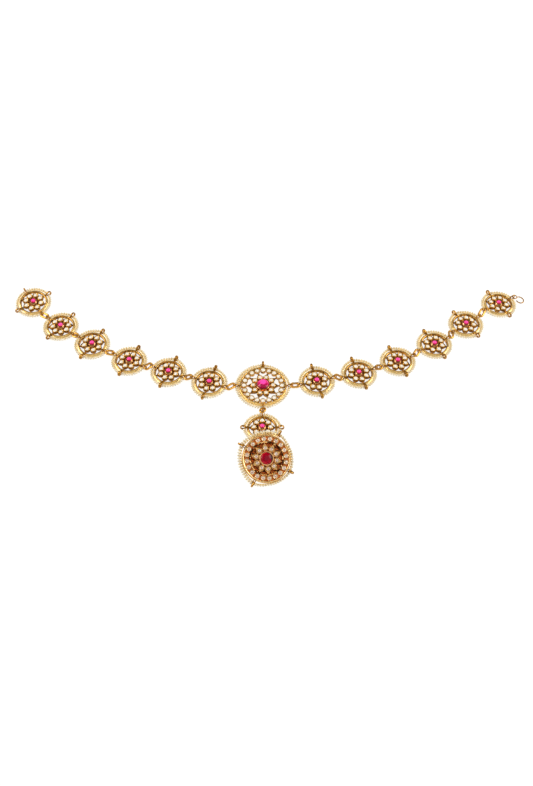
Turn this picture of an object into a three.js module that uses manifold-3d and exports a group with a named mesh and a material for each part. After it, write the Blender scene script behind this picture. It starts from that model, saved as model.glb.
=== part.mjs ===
// A sheeshphool: a gold headpiece of thirteen round openwork medallions in a band, with a drop and a
// large pendant hanging from the middle one. Each medallion carries a rosette of collets around a
// ruby, four side eyelets, and strings of seed pearls from eyelet to eyelet. Jump links join the
// eyelets, and a crook hook at one end fastens into the free eyelet at the other.
// Millimetres, +Z up. The headpiece lies spread out on a flat surface, the pendant nearest -Y.
import * as THREE from "three";
import { mergeVertices } from "three/addons/utils/BufferGeometryUtils.js";
import Module from "manifold-3d";

const wasm = await Module();
wasm.setup();

// ---------------------------------------------------------------- driving dimensions

const RING_SIDES = 8; // sides of a wire's or a pearl string's round section
const CLEARANCE = 0.3; // air left round a stone in its setting
const WELD = 1e-4; // points closer than this are one point

// The roll that runs round the outside of a rim, by the heights of its outer face.
const ROLL = { low: 0.5, high: 1.3 };

// A ruby's cut, as shares of its radius and height.
const CABOCHON = { foot: 0.85, girdle: 0.35, shoulder: 0.6, shoulderHeight: 0.88 };

const SIDE_MEDALLION = {
  rim: { radius: 8, wall: 0.7, height: 1.9, roll: 0.85, sides: 20 },
  rosette: { petals: 8, valley: 4.5, shoulder: 6.2, shoulderTurn: 12.5, tip: 7.6, bottom: 0.6, top: 2.3 },
  ruby: { radius: 1.5, seat: 2.6, height: 1.1, sides: 8 },
  setting: { radius: 2.5, top: 3, sides: 8 },
  eyelet: {
    reach: [10.35, 10.75, 10.35, 10.75],
    width: [0.9, 1.5, 0.9, 1.5],
    outer: 1.75,
    hole: 1.15,
    height: 1.75,
  },
  pearls: {
    bow: [10, 10, 10, 10],
    behindEyelet: 0.45,
    height: 1.15,
    radius: 0.72,
    halfWidth: [0.96, 0.96, 0.96, 0.96],
    steps: 28,
  },
};

const GREAT_MEDALLION = {
  rim: { radius: 13.3, wall: 0.75, height: 2.2, roll: 0.6, sides: 30 },
  collar: { collets: 20, crest: 9.3, valley: 10, outer: 12.9, bottom: 0.6, top: 2.4 },
  rosette: { petals: 10, valley: 5.5, shoulder: 7.1, shoulderTurn: 10, tip: 9.6, bottom: 0.6, top: 2.6 },
  ruby: { radius: 3.5, seat: 2.9, height: 1.9, sides: 12 },
  setting: { radius: 4.3, top: 3.5, sides: 12 },
  eyelet: {
    reach: [15.8, 15.8, 15.8, 15.8],
    width: [1, 1.6, 1, 1],
    outer: 1.75,
    hole: 1.15,
    height: 1.75,
  },
  pearls: {
    bow: [14.75, 15.22, 15.12, 14.75],
    behindEyelet: 0.55,
    height: 1.2,
    radius: 0.72,
    halfWidth: [0.75, 1.2, 1.1, 0.75],
    steps: 36,
  },
};

// The drop hangs by its eyelets at 90 and 270 degrees, so the free ones at 0 and 180 stand further out.
const DROP = {
  ...SIDE_MEDALLION,
  eyelet: {
    ...SIDE_MEDALLION.eyelet,
    reach: [10.75, 10.35, 10.75, 10.35],
    width: [1.5, 0.9, 1.5, 0.9],
  },
};

// The pendant is a great medallion closed at the back by a shallow bowl, with a hidden bail on it.
const PENDANT = {
  ...GREAT_MEDALLION,
  rim: { ...GREAT_MEDALLION.rim, radius: 13, roll: 0.4 },
  collar: { ...GREAT_MEDALLION.collar, outer: 12.6 },
  eyelet: {
    ...GREAT_MEDALLION.eyelet,
    reach: [15.8, 16, 16, 15.3],
    width: [1.6, 1.6, 1.6, 1.6],
  },
  bowl: { depth: 5.5, wall: 0.8, arcSteps: 3, sides: 30 },
  bail: { slope: 12, standOff: 2.6, outer: 1.6, hole: 1.15, width: 0.9 },
  pearls: {
    ...GREAT_MEDALLION.pearls,
    bow: [14.72, 14.72, 14.25, 14.3],
    height: 0.75,
    halfWidth: [1.2, 1.2, 0.72, 0.78],
  },
};

const THREAD_RADIUS = 0.12; // the thread between pearls, bare only inside the eyelets
const THREAD_DROP = 0.55; // how far below an eyelet's middle the thread passes through it
const BARE_THREAD = 0.95; // bare thread each side of an eyelet's middle plane
const FIRST_BEAD = 0.45; // from the end of the bare thread to the first bead's full width
const STEM = { width: 1, thickness: 0.6 };
const LINK = { wire: 0.42, halfWidth: 1.22, pull: 0.28, rise: 0.2, lean: 8, steps: 12, sides: 6 };
const HOOK = { wire: 0.34, eye: 1.3, rise: -0.1, eyeTurn: -10, turn: -61, drop: 11, steps: 22, sides: 8 };

// Where the medallions lie. heading turns a medallion's row of eyelets in the plane, pitch raises
// its far edge and roll raises its left edge, all in degrees.
const BAND = [
  { name: "01", x: -141.6, y: 67.0, heading: -55, pitch: 7 },
  { name: "02", x: -123.3, y: 48.6, heading: -38, pitch: 1 },
  { name: "03", x: -103.2, y: 34.6, heading: -32, pitch: 4 },
  { name: "04", x: -80.5, y: 22.5, heading: -27, pitch: 0 },
  { name: "05", x: -57.1, y: 14.2, heading: -23, pitch: 0 },
  { name: "06", x: -33.1, y: 6.2, heading: -19, pitch: 3 },
  { name: "centre", x: -2.0, y: 4.0, heading: 0, pitch: 0 },
  { name: "07", x: 29.1, y: 7.2, heading: 15, pitch: 2 },
  { name: "08", x: 53.7, y: 13.2, heading: 20, pitch: 0 },
  { name: "09", x: 76.9, y: 22.1, heading: 24, pitch: 0 },
  { name: "10", x: 99.4, y: 34.9, heading: 29, pitch: 0 },
  { name: "11", x: 119.6, y: 50.3, heading: 36, pitch: 0 },
  { name: "12", x: 141.0, y: 65.8, heading: 30, pitch: -3 },
];
const DROP_PLACE = { name: "drop", x: -2.4, y: -25.9, heading: 0, pitch: -4 };
const PENDANT_PLACE = { name: "pendant", x: -0.2, y: -50, heading: 62, pitch: 28, roll: 6 };

// ---------------------------------------------------------------- materials

const gold = () => new THREE.MeshStandardMaterial({ color: 0xcf9a3c, roughness: 0.28, metalness: 1 });
const ruby = () => new THREE.MeshStandardMaterial({ color: 0xc3174f, roughness: 0.08, metalness: 0 });
const pearl = () => new THREE.MeshStandardMaterial({ color: 0xeadfc6, roughness: 0.3, metalness: 0 });

// ---------------------------------------------------------------- joining and cutting

const radians = THREE.MathUtils.degToRad;

function positionsOnly(geometry) {
  geometry.deleteAttribute("normal");
  geometry.deleteAttribute("uv");
  return mergeVertices(geometry, WELD);
}

function solidOf(geometry) {
  const closed = positionsOnly(geometry);
  return new wasm.Manifold(new wasm.Mesh({
    numProp: 3,
    vertProperties: new Float32Array(closed.attributes.position.array),
    triVerts: new Uint32Array(closed.index.array),
  }));
}

function geometryOf(solid) {
  const { vertProperties, triVerts } = solid.getMesh();
  const geometry = new THREE.BufferGeometry();
  geometry.setAttribute("position", new THREE.BufferAttribute(vertProperties, 3));
  geometry.setIndex(new THREE.BufferAttribute(triVerts, 1));
  geometry.computeVertexNormals();
  return geometry;
}

const joined = (geometries) => geometries.map(solidOf).reduce((whole, piece) => whole.add(piece));

// ---------------------------------------------------------------- basic shapes

// A profile of [radius, height] pairs turned about +Z.
function turned(profile, sides) {
  const points = profile.map(([radius, height]) => new THREE.Vector2(radius, height));
  return new THREE.LatheGeometry(points, sides).rotateX(Math.PI / 2);
}

// A closed ring of rectangular section about +Z.
function band(inner, outer, bottom, top, sides) {
  return turned([[inner, bottom], [outer, bottom], [outer, top], [inner, top], [inner, bottom]], sides);
}

// The outer side of a rim, from its foot over the roll to its lip.
function rimOutside({ radius, roll, height }) {
  return [[radius, 0], [radius + roll, ROLL.low], [radius + roll, ROLL.high], [radius, height]];
}

function upstandingRim(rim) {
  const inner = rim.radius - rim.wall;
  return turned([[inner, 0], ...rimOutside(rim), [inner, rim.height], [inner, 0]], rim.sides);
}

const polar = (radius, degrees) => new THREE.Vector2(
  radius * Math.cos(radians(degrees)),
  radius * Math.sin(radians(degrees)),
);

function slab(shape, bottom, top) {
  const depth = top - bottom;
  return new THREE.ExtrudeGeometry(shape, { depth, bevelEnabled: false }).translate(0, 0, bottom);
}

// A tube that closes on itself: placeAt(angle) gives its centre, its outward direction, its radius and,
// for an oval section, its half width in that direction.
function closedTube(sides, steps, placeAt) {
  const tube = new THREE.TorusGeometry(1, 0.5, sides, steps);
  const position = tube.attributes.position;
  for (let j = 0; j <= sides; j++) {
    for (let i = 0; i <= steps; i++) {
      const along = ((i % steps) / steps) * Math.PI * 2;
      const around = ((j % sides) / sides) * Math.PI * 2;
      const { centre, outward, radius, halfWidth = radius } = placeAt(along);
      const vertex = centre.clone().addScaledVector(outward, halfWidth * Math.cos(around));
      vertex.z += radius * Math.sin(around);
      position.setXYZ(j * (steps + 1) + i, vertex.x, vertex.y, vertex.z);
    }
  }
  return tube;
}

// ---------------------------------------------------------------- a medallion's metal

// Petals with ogee points, as one star-shaped outline.
function petalStar({ petals, valley, shoulder, shoulderTurn, tip }) {
  const outline = [];
  for (let k = 0; k < petals; k++) {
    const middle = (360 / petals) * k;
    outline.push(polar(shoulder, middle - shoulderTurn));
    outline.push(polar(tip, middle));
    outline.push(polar(shoulder, middle + shoulderTurn));
    outline.push(polar(valley, middle + 180 / petals));
  }
  return new THREE.Shape(outline);
}

function rosette(spec) {
  return slab(petalStar(spec), spec.bottom, spec.top);
}

// The ring of collets next to a great medallion's rim, scalloped on its inner side.
function colletCollar({ collets, crest, valley, outer, bottom, top }) {
  const ring = new THREE.Shape();
  const inside = [];
  const edge = [];
  for (let k = 0; k < collets * 2; k++) {
    const turn = (180 / collets) * k;
    edge.push(polar(outer, turn));
    inside.push(polar(k % 2 ? valley : crest, turn));
  }
  ring.setFromPoints(edge);
  ring.holes.push(new THREE.Path(inside));
  return slab(ring, bottom, top);
}

// The raised cup that holds the middle ruby, standing on the rosette.
function settingCup({ setting, ruby: stone, rosette: { bottom } }) {
  return turned([
    [0, bottom],
    [setting.radius, bottom],
    [setting.radius, setting.top],
    [stone.radius + CLEARANCE, setting.top],
    [stone.radius + CLEARANCE, stone.seat - CLEARANCE],
    [0, stone.seat - CLEARANCE],
  ], setting.sides);
}

// One coiled eyelet on its stem, standing upright and facing sideways, index quarter turns round.
function eyelet({ eyelet: { reach: reaches, width: widths, outer, hole, height }, rim }, index) {
  const reach = reaches[index];
  const width = widths[index];
  const coil = band(hole, outer, -width / 2, width / 2, RING_SIDES)
    .rotateX(-Math.PI / 2)
    .translate(reach, 0, height);
  const inner = rim.radius - STEM.thickness / 2;
  const length = reach - (outer + hole) / 2 - inner;
  const stem = new THREE.BoxGeometry(length, STEM.width, STEM.thickness)
    .translate(inner + length / 2, 0, height);
  return [coil, stem].map((piece) => piece.rotateZ((index * Math.PI) / 2));
}

const QUARTERS = [0, 1, 2, 3];

function medallionMetal(spec) {
  const pieces = [
    rosette(spec.rosette),
    settingCup(spec),
    ...QUARTERS.flatMap((index) => eyelet(spec, index)),
  ];
  if (spec.collar) pieces.push(colletCollar(spec.collar));
  pieces.push(spec.bowl ? bowlWithRim(spec) : upstandingRim(spec.rim));
  if (spec.bail) pieces.push(...bail(spec));
  return joined(pieces);
}

// ---------------------------------------------------------------- the pendant's back

const bowlRadius = ({ rim, bowl }) => (rim.radius ** 2 + bowl.depth ** 2) / (2 * bowl.depth);

// A thin spherical bowl that rises into the rim, open towards the rosette.
function bowlWithRim(spec) {
  const { rim, bowl } = spec;
  const outerRadius = bowlRadius(spec);
  const middle = outerRadius - bowl.depth;
  const widest = Math.asin(rim.radius / outerRadius);
  const arc = (radius, limit) => {
    const points = [];
    for (let i = 0; i <= bowl.arcSteps; i++) {
      const slope = (limit * i) / bowl.arcSteps;
      points.push([radius * Math.sin(slope), middle - radius * Math.cos(slope)]);
    }
    return points;
  };
  const innerRadius = outerRadius - bowl.wall;
  const innerWidest = Math.asin((rim.radius - rim.wall) / innerRadius);
  return turned([
    ...arc(outerRadius, widest).slice(0, -1),
    ...rimOutside(rim),
    [rim.radius - rim.wall, rim.height],
    ...arc(innerRadius, innerWidest).reverse(),
  ], bowl.sides);
}

// A plain ring on a stem, low on the bowl's far side, out of sight.
function bail(spec) {
  const { slope, standOff, outer, hole, width } = spec.bail;
  const reach = bowlRadius(spec) + standOff;
  const middle = bowlRadius(spec) - spec.bowl.depth;
  const ring = band(hole, outer, -width / 2, width / 2, RING_SIDES)
    .rotateX(-Math.PI / 2)
    .translate(0, 0, -reach);
  const length = standOff - (outer + hole) / 2 + STEM.thickness;
  const stem = new THREE.BoxGeometry(STEM.thickness, STEM.width, length)
    .translate(0, 0, -reach + (outer + hole) / 2 + length / 2);
  return [ring, stem].map((piece) => piece
    .rotateY(-radians(slope))
    .translate(0, 0, middle)
    .rotateZ(radians(90 - PENDANT_PLACE.heading)));
}

// ---------------------------------------------------------------- stones, pearls

function rubyStone({ radius, seat, height, sides }) {
  return turned([
    [0, seat],
    [radius * CABOCHON.foot, seat],
    [radius, seat + height * CABOCHON.girdle],
    [radius * CABOCHON.shoulder, seat + height * CABOCHON.shoulderHeight],
    [0, seat + height],
  ], sides);
}

// Four bowed strings of oval seed pearls, one closed loop that thins to its thread inside each eyelet.
function pearlLoop({ pearls, eyelet: ring }) {
  const quarter = Math.PI / 2;
  const quarterSteps = pearls.steps / QUARTERS.length;
  return closedTube(RING_SIDES, pearls.steps, (along) => {
    const count = Math.round((along / quarter) * quarterSteps);
    const index = Math.floor(count / quarterSteps);
    const step = count % quarterSteps;
    const bare = step === 0 || step === quarterSteps - 1;
    const nearest = ring.reach[(index + Math.round(step / quarterSteps)) % QUARTERS.length];
    const threadEnds = BARE_THREAD / nearest;
    const firstBead = (BARE_THREAD + FIRST_BEAD) / nearest;
    const share = (step - 1) / (quarterSteps - 3);
    const beaded = firstBead + share * (quarter - 2 * firstBead);
    const within = bare ? Math.sign(step) * (quarter - 2 * threadEnds) + threadEnds : beaded;
    const towardsEyelet = Math.cos(2 * within) ** 4;
    const turn = index * quarter + within;
    const outward = new THREE.Vector3(Math.cos(turn), Math.sin(turn), 0);
    const centre = outward.clone().multiplyScalar(
      THREE.MathUtils.lerp(pearls.bow[index], nearest - pearls.behindEyelet, towardsEyelet),
    );
    centre.z = bare ? ring.height - THREAD_DROP : pearls.height;
    if (bare) return { centre, outward, radius: THREAD_RADIUS };
    return { centre, outward, radius: pearls.radius, halfWidth: pearls.halfWidth[index] };
  });
}

// ---------------------------------------------------------------- links and hook

// An oval wire link, with the given distance between the centres of its two round ends.
function ovalLink(distance) {
  return closedTube(LINK.sides, LINK.steps, (along) => {
    const angle = along + Math.PI / LINK.steps;
    const outward = new THREE.Vector3(Math.cos(angle), Math.sin(angle), 0);
    const centre = outward.clone().multiplyScalar(LINK.halfWidth);
    centre.x += Math.sign(outward.x) * distance / 2;
    return { centre, outward, radius: LINK.wire };
  });
}

// The crook: a wire eye, a shank along one side, a round bend and a short return.
function crookHook() {
  const eye = closedTube(LINK.sides, LINK.steps, (along) => {
    const outward = new THREE.Vector3(Math.cos(along), Math.sin(along), 0);
    return { centre: outward.clone().multiplyScalar(HOOK.eye), outward, radius: HOOK.wire };
  });
  const bend = new THREE.CatmullRomCurve3([
    new THREE.Vector3(1.1, 0.65, 0),
    new THREE.Vector3(2.3, 1.75, 0),
    new THREE.Vector3(3.7, 2.1, 0),
    new THREE.Vector3(5.3, 1.6, 0),
    new THREE.Vector3(6.0, 0, 0),
    new THREE.Vector3(5.3, -1.6, 0),
    new THREE.Vector3(3.7, -2.2, 0),
    new THREE.Vector3(2.1, -1.9, 0),
  ]);
  const section = new THREE.Shape();
  section.absarc(0, 0, HOOK.wire, 0, Math.PI * 2);
  const wire = new THREE.ExtrudeGeometry(section, {
    steps: HOOK.steps,
    curveSegments: HOOK.sides / 2,
    extrudePath: bend,
  });
  return joined([eye, wire]);
}

// ---------------------------------------------------------------- assembly

const UP = new THREE.Vector3(0, 0, 1);
const headpiece = new THREE.Group();

function addMesh(parent, name, geometry, material) {
  const mesh = new THREE.Mesh(geometry, material);
  mesh.name = name;
  parent.add(mesh);
  return mesh;
}

// Stands a group on the ground by its lowest point.
function settle(group) {
  group.updateMatrixWorld(true);
  group.position.z -= new THREE.Box3().setFromObject(group, true).min.z;
  group.updateMatrixWorld(true);
}

function addMedallion(spec, { name, x, y, heading, pitch = 0, roll = 0 }) {
  const group = new THREE.Group();
  group.rotation.set(radians(pitch), radians(roll), radians(heading), "XYZ");
  group.position.set(x, y, 0);
  addMesh(group, `frame_${name}`, geometryOf(medallionMetal(spec)), gold());
  addMesh(group, `ruby_${name}`, positionsOnly(rubyStone(spec.ruby)), ruby());
  addMesh(group, `pearls_${name}`, positionsOnly(pearlLoop(spec)), pearl());
  headpiece.add(group);
  settle(group);
  return { name, spec, group };
}

// One of a medallion's eyelets, by the side that it stands on. ahead is the way that the eyelet
// points, and middle is the middle of its hole.
const SIDE = { ahead: 0, left: 1, behind: 2, right: 3 };

function eyeletOf({ spec, group }, side) {
  const { reach, height } = spec.eyelet;
  const direction = polar(1, side * 90);
  const ahead = new THREE.Vector3(direction.x, direction.y, 0).transformDirection(group.matrixWorld);
  const middle = new THREE.Vector3(direction.x * reach[side], direction.y * reach[side], height);
  return { middle: group.localToWorld(middle), ahead };
}

// The pendant's bail, seen as an eyelet that points to a given place.
function bailOf({ spec, group }, target) {
  const reach = bowlRadius(spec) + spec.bail.standOff;
  const slope = radians(spec.bail.slope);
  const flat = polar(reach * Math.sin(slope), 90 - PENDANT_PLACE.heading);
  const depth = bowlRadius(spec) - spec.bowl.depth - reach * Math.cos(slope);
  const middle = group.localToWorld(new THREE.Vector3(flat.x, flat.y, depth));
  const ahead = target.clone().sub(middle).setX(0).normalize();
  return { middle, ahead };
}

// A link's round end passes squarely through the eyelet's hole and round its outer side. This is
// the centre of that bend, in the plane of the link.
function bendCentre({ middle, ahead }, radius, planeNormal) {
  const inPlane = ahead.clone().projectOnPlane(planeNormal).normalize();
  return middle.clone().addScaledVector(inPlane, LINK.pull + radius);
}

function addLink(name, from, to, lean) {
  const way = to.middle.clone().sub(from.middle);
  const normal = way.clone().cross(new THREE.Vector3().crossVectors(UP, way)).normalize();
  const start = bendCentre(from, LINK.halfWidth, normal);
  const end = bendCentre(to, LINK.halfWidth, normal);
  const along = end.clone().sub(start);
  const link = addMesh(headpiece, name, positionsOnly(ovalLink(along.length())), gold());
  along.normalize();
  link.matrixAutoUpdate = false;
  link.matrix.makeBasis(along, normal.clone().cross(along), normal);
  link.matrix.multiply(new THREE.Matrix4().makeRotationX(radians(lean)));
  link.matrix.setPosition(start.add(end).multiplyScalar(0.5).addScaledVector(UP, LINK.rise));
}

function addHook(owner) {
  const { middle, ahead } = eyeletOf(owner, SIDE.ahead);
  const eyeAhead = ahead.clone().applyAxisAngle(UP, radians(HOOK.eyeTurn));
  const group = new THREE.Group();
  group.position.copy(bendCentre({ middle, ahead: eyeAhead }, HOOK.eye, UP)).addScaledVector(UP, HOOK.rise);
  group.rotation.set(0, radians(HOOK.drop), Math.atan2(ahead.y, ahead.x) + radians(HOOK.turn), "ZYX");
  addMesh(group, "hook", geometryOf(crookHook()), gold());
  headpiece.add(group);
}

const medallions = BAND.map((place) => addMedallion(
  place.name === "centre" ? GREAT_MEDALLION : SIDE_MEDALLION,
  place,
));
const centre = medallions.find(({ name }) => name === "centre");
const drop = addMedallion(DROP, DROP_PLACE);
const pendant = addMedallion(PENDANT, PENDANT_PLACE);

for (let i = 1; i < medallions.length; i++) {
  const before = medallions[i - 1];
  const after = medallions[i];
  const name = `link_${before.name}_${after.name}`;
  addLink(name, eyeletOf(before, SIDE.ahead), eyeletOf(after, SIDE.behind), LINK.lean);
}
const dropEyelet = eyeletOf(drop, SIDE.right);
addLink("link_centre_drop", eyeletOf(centre, SIDE.right), eyeletOf(drop, SIDE.left), LINK.lean);
addLink("link_drop_pendant", dropEyelet, bailOf(pendant, dropEyelet.middle), 0);
addHook(medallions[medallions.length - 1]);

headpiece.updateMatrixWorld(true);
const extent = new THREE.Box3().setFromObject(headpiece, true);
const middle = extent.getCenter(new THREE.Vector3());
headpiece.position.set(-middle.x, -middle.y, -extent.min.z);
headpiece.updateMatrixWorld(true);

export default headpiece;
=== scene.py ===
"""A sheeshphool laid out flat: gold medallions set with rubies and flat diamonds, edged with seed pearls.

Thirteen openwork medallions form a band of two arms and a large middle piece. A drop and a closed
pendant hang from the middle one, jump links join the eyelets and a crook hook ends the right arm.
Sub-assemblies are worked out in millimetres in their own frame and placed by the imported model.
"""

import logging
import math
import random
from dataclasses import dataclass, replace
from enum import Enum, IntEnum
from typing import Any, Callable, Sequence

import bmesh
import bpy
from mathutils import Matrix, Vector


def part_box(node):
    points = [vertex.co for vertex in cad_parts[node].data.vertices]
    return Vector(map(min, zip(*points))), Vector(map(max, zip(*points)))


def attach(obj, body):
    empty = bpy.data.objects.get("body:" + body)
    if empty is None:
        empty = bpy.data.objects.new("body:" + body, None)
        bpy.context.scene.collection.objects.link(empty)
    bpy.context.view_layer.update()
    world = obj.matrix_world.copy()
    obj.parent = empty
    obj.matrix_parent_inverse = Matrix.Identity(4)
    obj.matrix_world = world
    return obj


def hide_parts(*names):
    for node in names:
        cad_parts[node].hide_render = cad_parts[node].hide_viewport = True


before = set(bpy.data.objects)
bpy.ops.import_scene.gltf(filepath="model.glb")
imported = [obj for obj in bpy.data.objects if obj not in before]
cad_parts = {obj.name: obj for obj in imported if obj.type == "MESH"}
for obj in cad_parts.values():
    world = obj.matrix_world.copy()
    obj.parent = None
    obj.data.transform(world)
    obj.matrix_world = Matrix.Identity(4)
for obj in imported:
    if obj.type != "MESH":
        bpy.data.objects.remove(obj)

LOG = logging.getLogger("sheeshphool")
MM = 0.001
TAU = math.tau
QUARTER = math.pi / 2
UP = Vector((0, 0, 1))

# Steps round the turned parts, and along the wires and strings.
RIM_STEPS, BACKING_STEPS, PLATE_STEPS, SETTING_STEPS, COLLET_STEPS, BAIL_STEPS = 72, 160, 40, 80, 14, 20
STRING_STEPS, LINK_STEPS, EYE_STEPS, CROOK_STEPS = 30, 32, 24, 6

# The angles at which edges start to show, in degrees.
GOLD_CREASE, WIRE_CREASE = 42, 50

# The swell of the turned parts, as shares of their radius.
OUT_OF_ROUND, FLUTE_DEPTH, BEAD_DEPTH, BEADS = 0.004, 0.035, 0.012, 40

Triple = tuple[float, float, float]
Quad = tuple[float, float, float, float]
Colour = Triple
Profile = Sequence[tuple[float, float]]
Sockets = dict[str, Any]


# ---------------------------------------------------------------- wiring nodes


class NodeBench:
    """Adds nodes to one tree, shader or geometry, and wires them together."""

    def __init__(self, tree: bpy.types.NodeTree) -> None:
        """Takes the tree that is worked on."""
        self.tree = tree

    def add(
        self, kind: str, settings: Sockets | None = None, inputs: Sockets | None = None
    ) -> bpy.types.Node:
        """Adds one node.

        Args:
            kind: The node's type.
            settings: Its own settings, set first. "stops" fills a colour ramp, and "branches" is
                the number of an index switch's branches.
            inputs: Values or links for its sockets, by socket name.

        Returns:
            The new node.
        """
        node = self.tree.nodes.new(kind)
        for name, value in (settings or {}).items():
            if name == "stops":
                self._fill_ramp(node.color_ramp, value)
            elif name == "branches":
                while len(node.index_switch_items) < value:
                    node.index_switch_items.new()
            else:
                setattr(node, name, value)
        for name, value in (inputs or {}).items():
            self.feed(self.socket(node.inputs, name), value)
        return node

    def feed(self, socket: bpy.types.NodeSocket, value: Any) -> None:
        """Links or sets one input socket.

        Args:
            socket: The input.
            value: A Value, another node's output socket, or a plain value.
        """
        if isinstance(value, Value):
            value = value.socket
        if isinstance(value, bpy.types.NodeSocket):
            self.tree.links.new(value, socket)
        elif socket.type == "VECTOR" and isinstance(value, float):
            socket.default_value = (value, value, value)
        else:
            socket.default_value = value

    def value(self, node: bpy.types.Node, name: str) -> "Value":
        """Wraps a node's output as a number."""
        return Value(self, self.socket(node.outputs, name))

    @staticmethod
    def socket(sockets: Any, name: str) -> bpy.types.NodeSocket:
        """The usable socket of that name among a node's inputs or outputs."""
        return next(socket for socket in sockets if socket.enabled and socket.name == name)

    @staticmethod
    def _fill_ramp(ramp: bpy.types.ColorRamp, stops: Sequence[tuple[float, Colour]]) -> None:
        """Gives a colour ramp its stops.

        Args:
            ramp: The ramp.
            stops: (place, colour) pairs in order.
        """
        while len(ramp.elements) < len(stops):
            ramp.elements.new(1.0)
        for element, (place, colour) in zip(ramp.elements, stops):
            element.position = place
            element.color = (*colour, 1.0)


def operator(operation: str, swapped: bool = False) -> Callable[["Value", Any], "Value"]:
    """An operator of two numbers that adds a Math node.

    Args:
        operation: The Math node's operation.
        swapped: Whether the other number comes first.

    Returns:
        The operator.
    """

    def operate(this: "Value", other: Any) -> "Value":
        """The node's result."""
        return this.math(operation, *((other, this) if swapped else (this, other)))

    return operate


@dataclass(frozen=True)
class Value:
    """A number that flows out of a socket, with arithmetic that adds Math nodes."""

    bench: NodeBench
    socket: bpy.types.NodeSocket

    __add__, __radd__ = operator("ADD"), operator("ADD", swapped=True)
    __sub__, __rsub__ = operator("SUBTRACT"), operator("SUBTRACT", swapped=True)
    __mul__, __rmul__ = operator("MULTIPLY"), operator("MULTIPLY", swapped=True)
    __truediv__, __rtruediv__ = operator("DIVIDE"), operator("DIVIDE", swapped=True)
    __pow__ = operator("POWER")
    larger, over, turn_to = operator("MAXIMUM"), operator("GREATER_THAN"), operator("ARCTAN2")

    def math(self, operation: str, *operands: Any) -> "Value":
        """Adds a Math node.

        Args:
            operation: The Math node's operation.
            operands: Its inputs in order, numbers or Values.

        Returns:
            The node's result.
        """
        node = self.bench.add("ShaderNodeMath", {"operation": operation})
        for socket, operand in zip(node.inputs, operands):
            self.bench.feed(socket, operand)
        return Value(self.bench, node.outputs[0])

    def cos(self) -> "Value":
        """The cosine of this angle."""
        return self.math("COSINE", self)

    def sin(self) -> "Value":
        """The sine of this angle."""
        return self.math("SINE", self)

    def between(self, low: float, high: float) -> "Value":
        """How far this is on the way from low to high.

        Args:
            low: Where the way starts.
            high: Where it ends.

        Returns:
            The share, kept between 0 and 1.
        """
        limits = {"Value": self, "From Min": low, "From Max": high}
        return self.bench.value(self.bench.add("ShaderNodeMapRange", {"clamp": True}, limits), "Result")


# ---------------------------------------------------------------- finishes


class ShaderBench(NodeBench):
    """A material's tree, with the textures that the finishes share."""

    def __init__(self, name: str) -> None:
        """Makes an empty material.

        Args:
            name: The material's name.
        """
        self.material = bpy.data.materials.new(name)
        self.material.use_nodes = True
        self.material.node_tree.nodes.clear()
        super().__init__(self.material.node_tree)
        self.place = self.add("ShaderNodeTexCoord").outputs["Object"]

    def grain(self, per_mm: float, detail: float = 2.0, stretch: Triple = (1, 1, 1)) -> Value:
        """Noise that is fixed to the piece.

        Args:
            per_mm: Its scale, in features per millimetre.
            detail: The noise's octaves.
            stretch: How much finer it is along each axis.

        Returns:
            The noise, about 0.5 on average.
        """
        scale = tuple(per_mm / MM * share for share in stretch)
        mapping = self.add("ShaderNodeMapping", None, {"Vector": self.place, "Scale": scale})
        pattern = {"Vector": mapping.outputs["Vector"], "Scale": 1.0, "Detail": detail}
        return self.value(self.add("ShaderNodeTexNoise", None, pattern), "Fac")

    def attribute(self, name: str) -> Value:
        """A number that is stored on the mesh."""
        return self.value(self.add("ShaderNodeAttribute", {"attribute_name": name}), "Fac")

    def blend(self, share: Any, first: Any, second: Any) -> bpy.types.NodeSocket:
        """Mixes two colours.

        Args:
            share: How much of the second colour shows.
            first: A colour or a colour's socket.
            second: A colour or a colour's socket.

        Returns:
            The mixed colour's socket.
        """
        node = self.add("ShaderNodeMix", {"data_type": "RGBA", "clamp_factor": True})
        self.feed(self.socket(node.inputs, "Factor"), share)
        for name, colour in (("A", first), ("B", second)):
            plain = isinstance(colour, tuple)
            self.feed(self.socket(node.inputs, name), (*colour, 1.0) if plain else colour)
        return self.socket(node.outputs, "Result")

    def bump(self, height: Value, depth_mm: float) -> bpy.types.NodeSocket:
        """A surface's small unevenness.

        Args:
            height: The height, 0 to 1.
            depth_mm: The height of 1, in millimetres.

        Returns:
            The disturbed normal's socket.
        """
        relief = {"Height": height, "Strength": 1.0, "Distance": depth_mm * MM}
        return self.add("ShaderNodeBump", None, relief).outputs["Normal"]

    def finish(self, inputs: Sockets) -> bpy.types.Material:
        """Ends the tree in a Principled shader.

        Args:
            inputs: The shader's sockets by name.

        Returns:
            The finished material.
        """
        shader = self.add("ShaderNodeBsdfPrincipled", None, inputs)
        self.add("ShaderNodeOutputMaterial", None, {"Surface": shader.outputs["BSDF"]})
        return self.material


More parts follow.
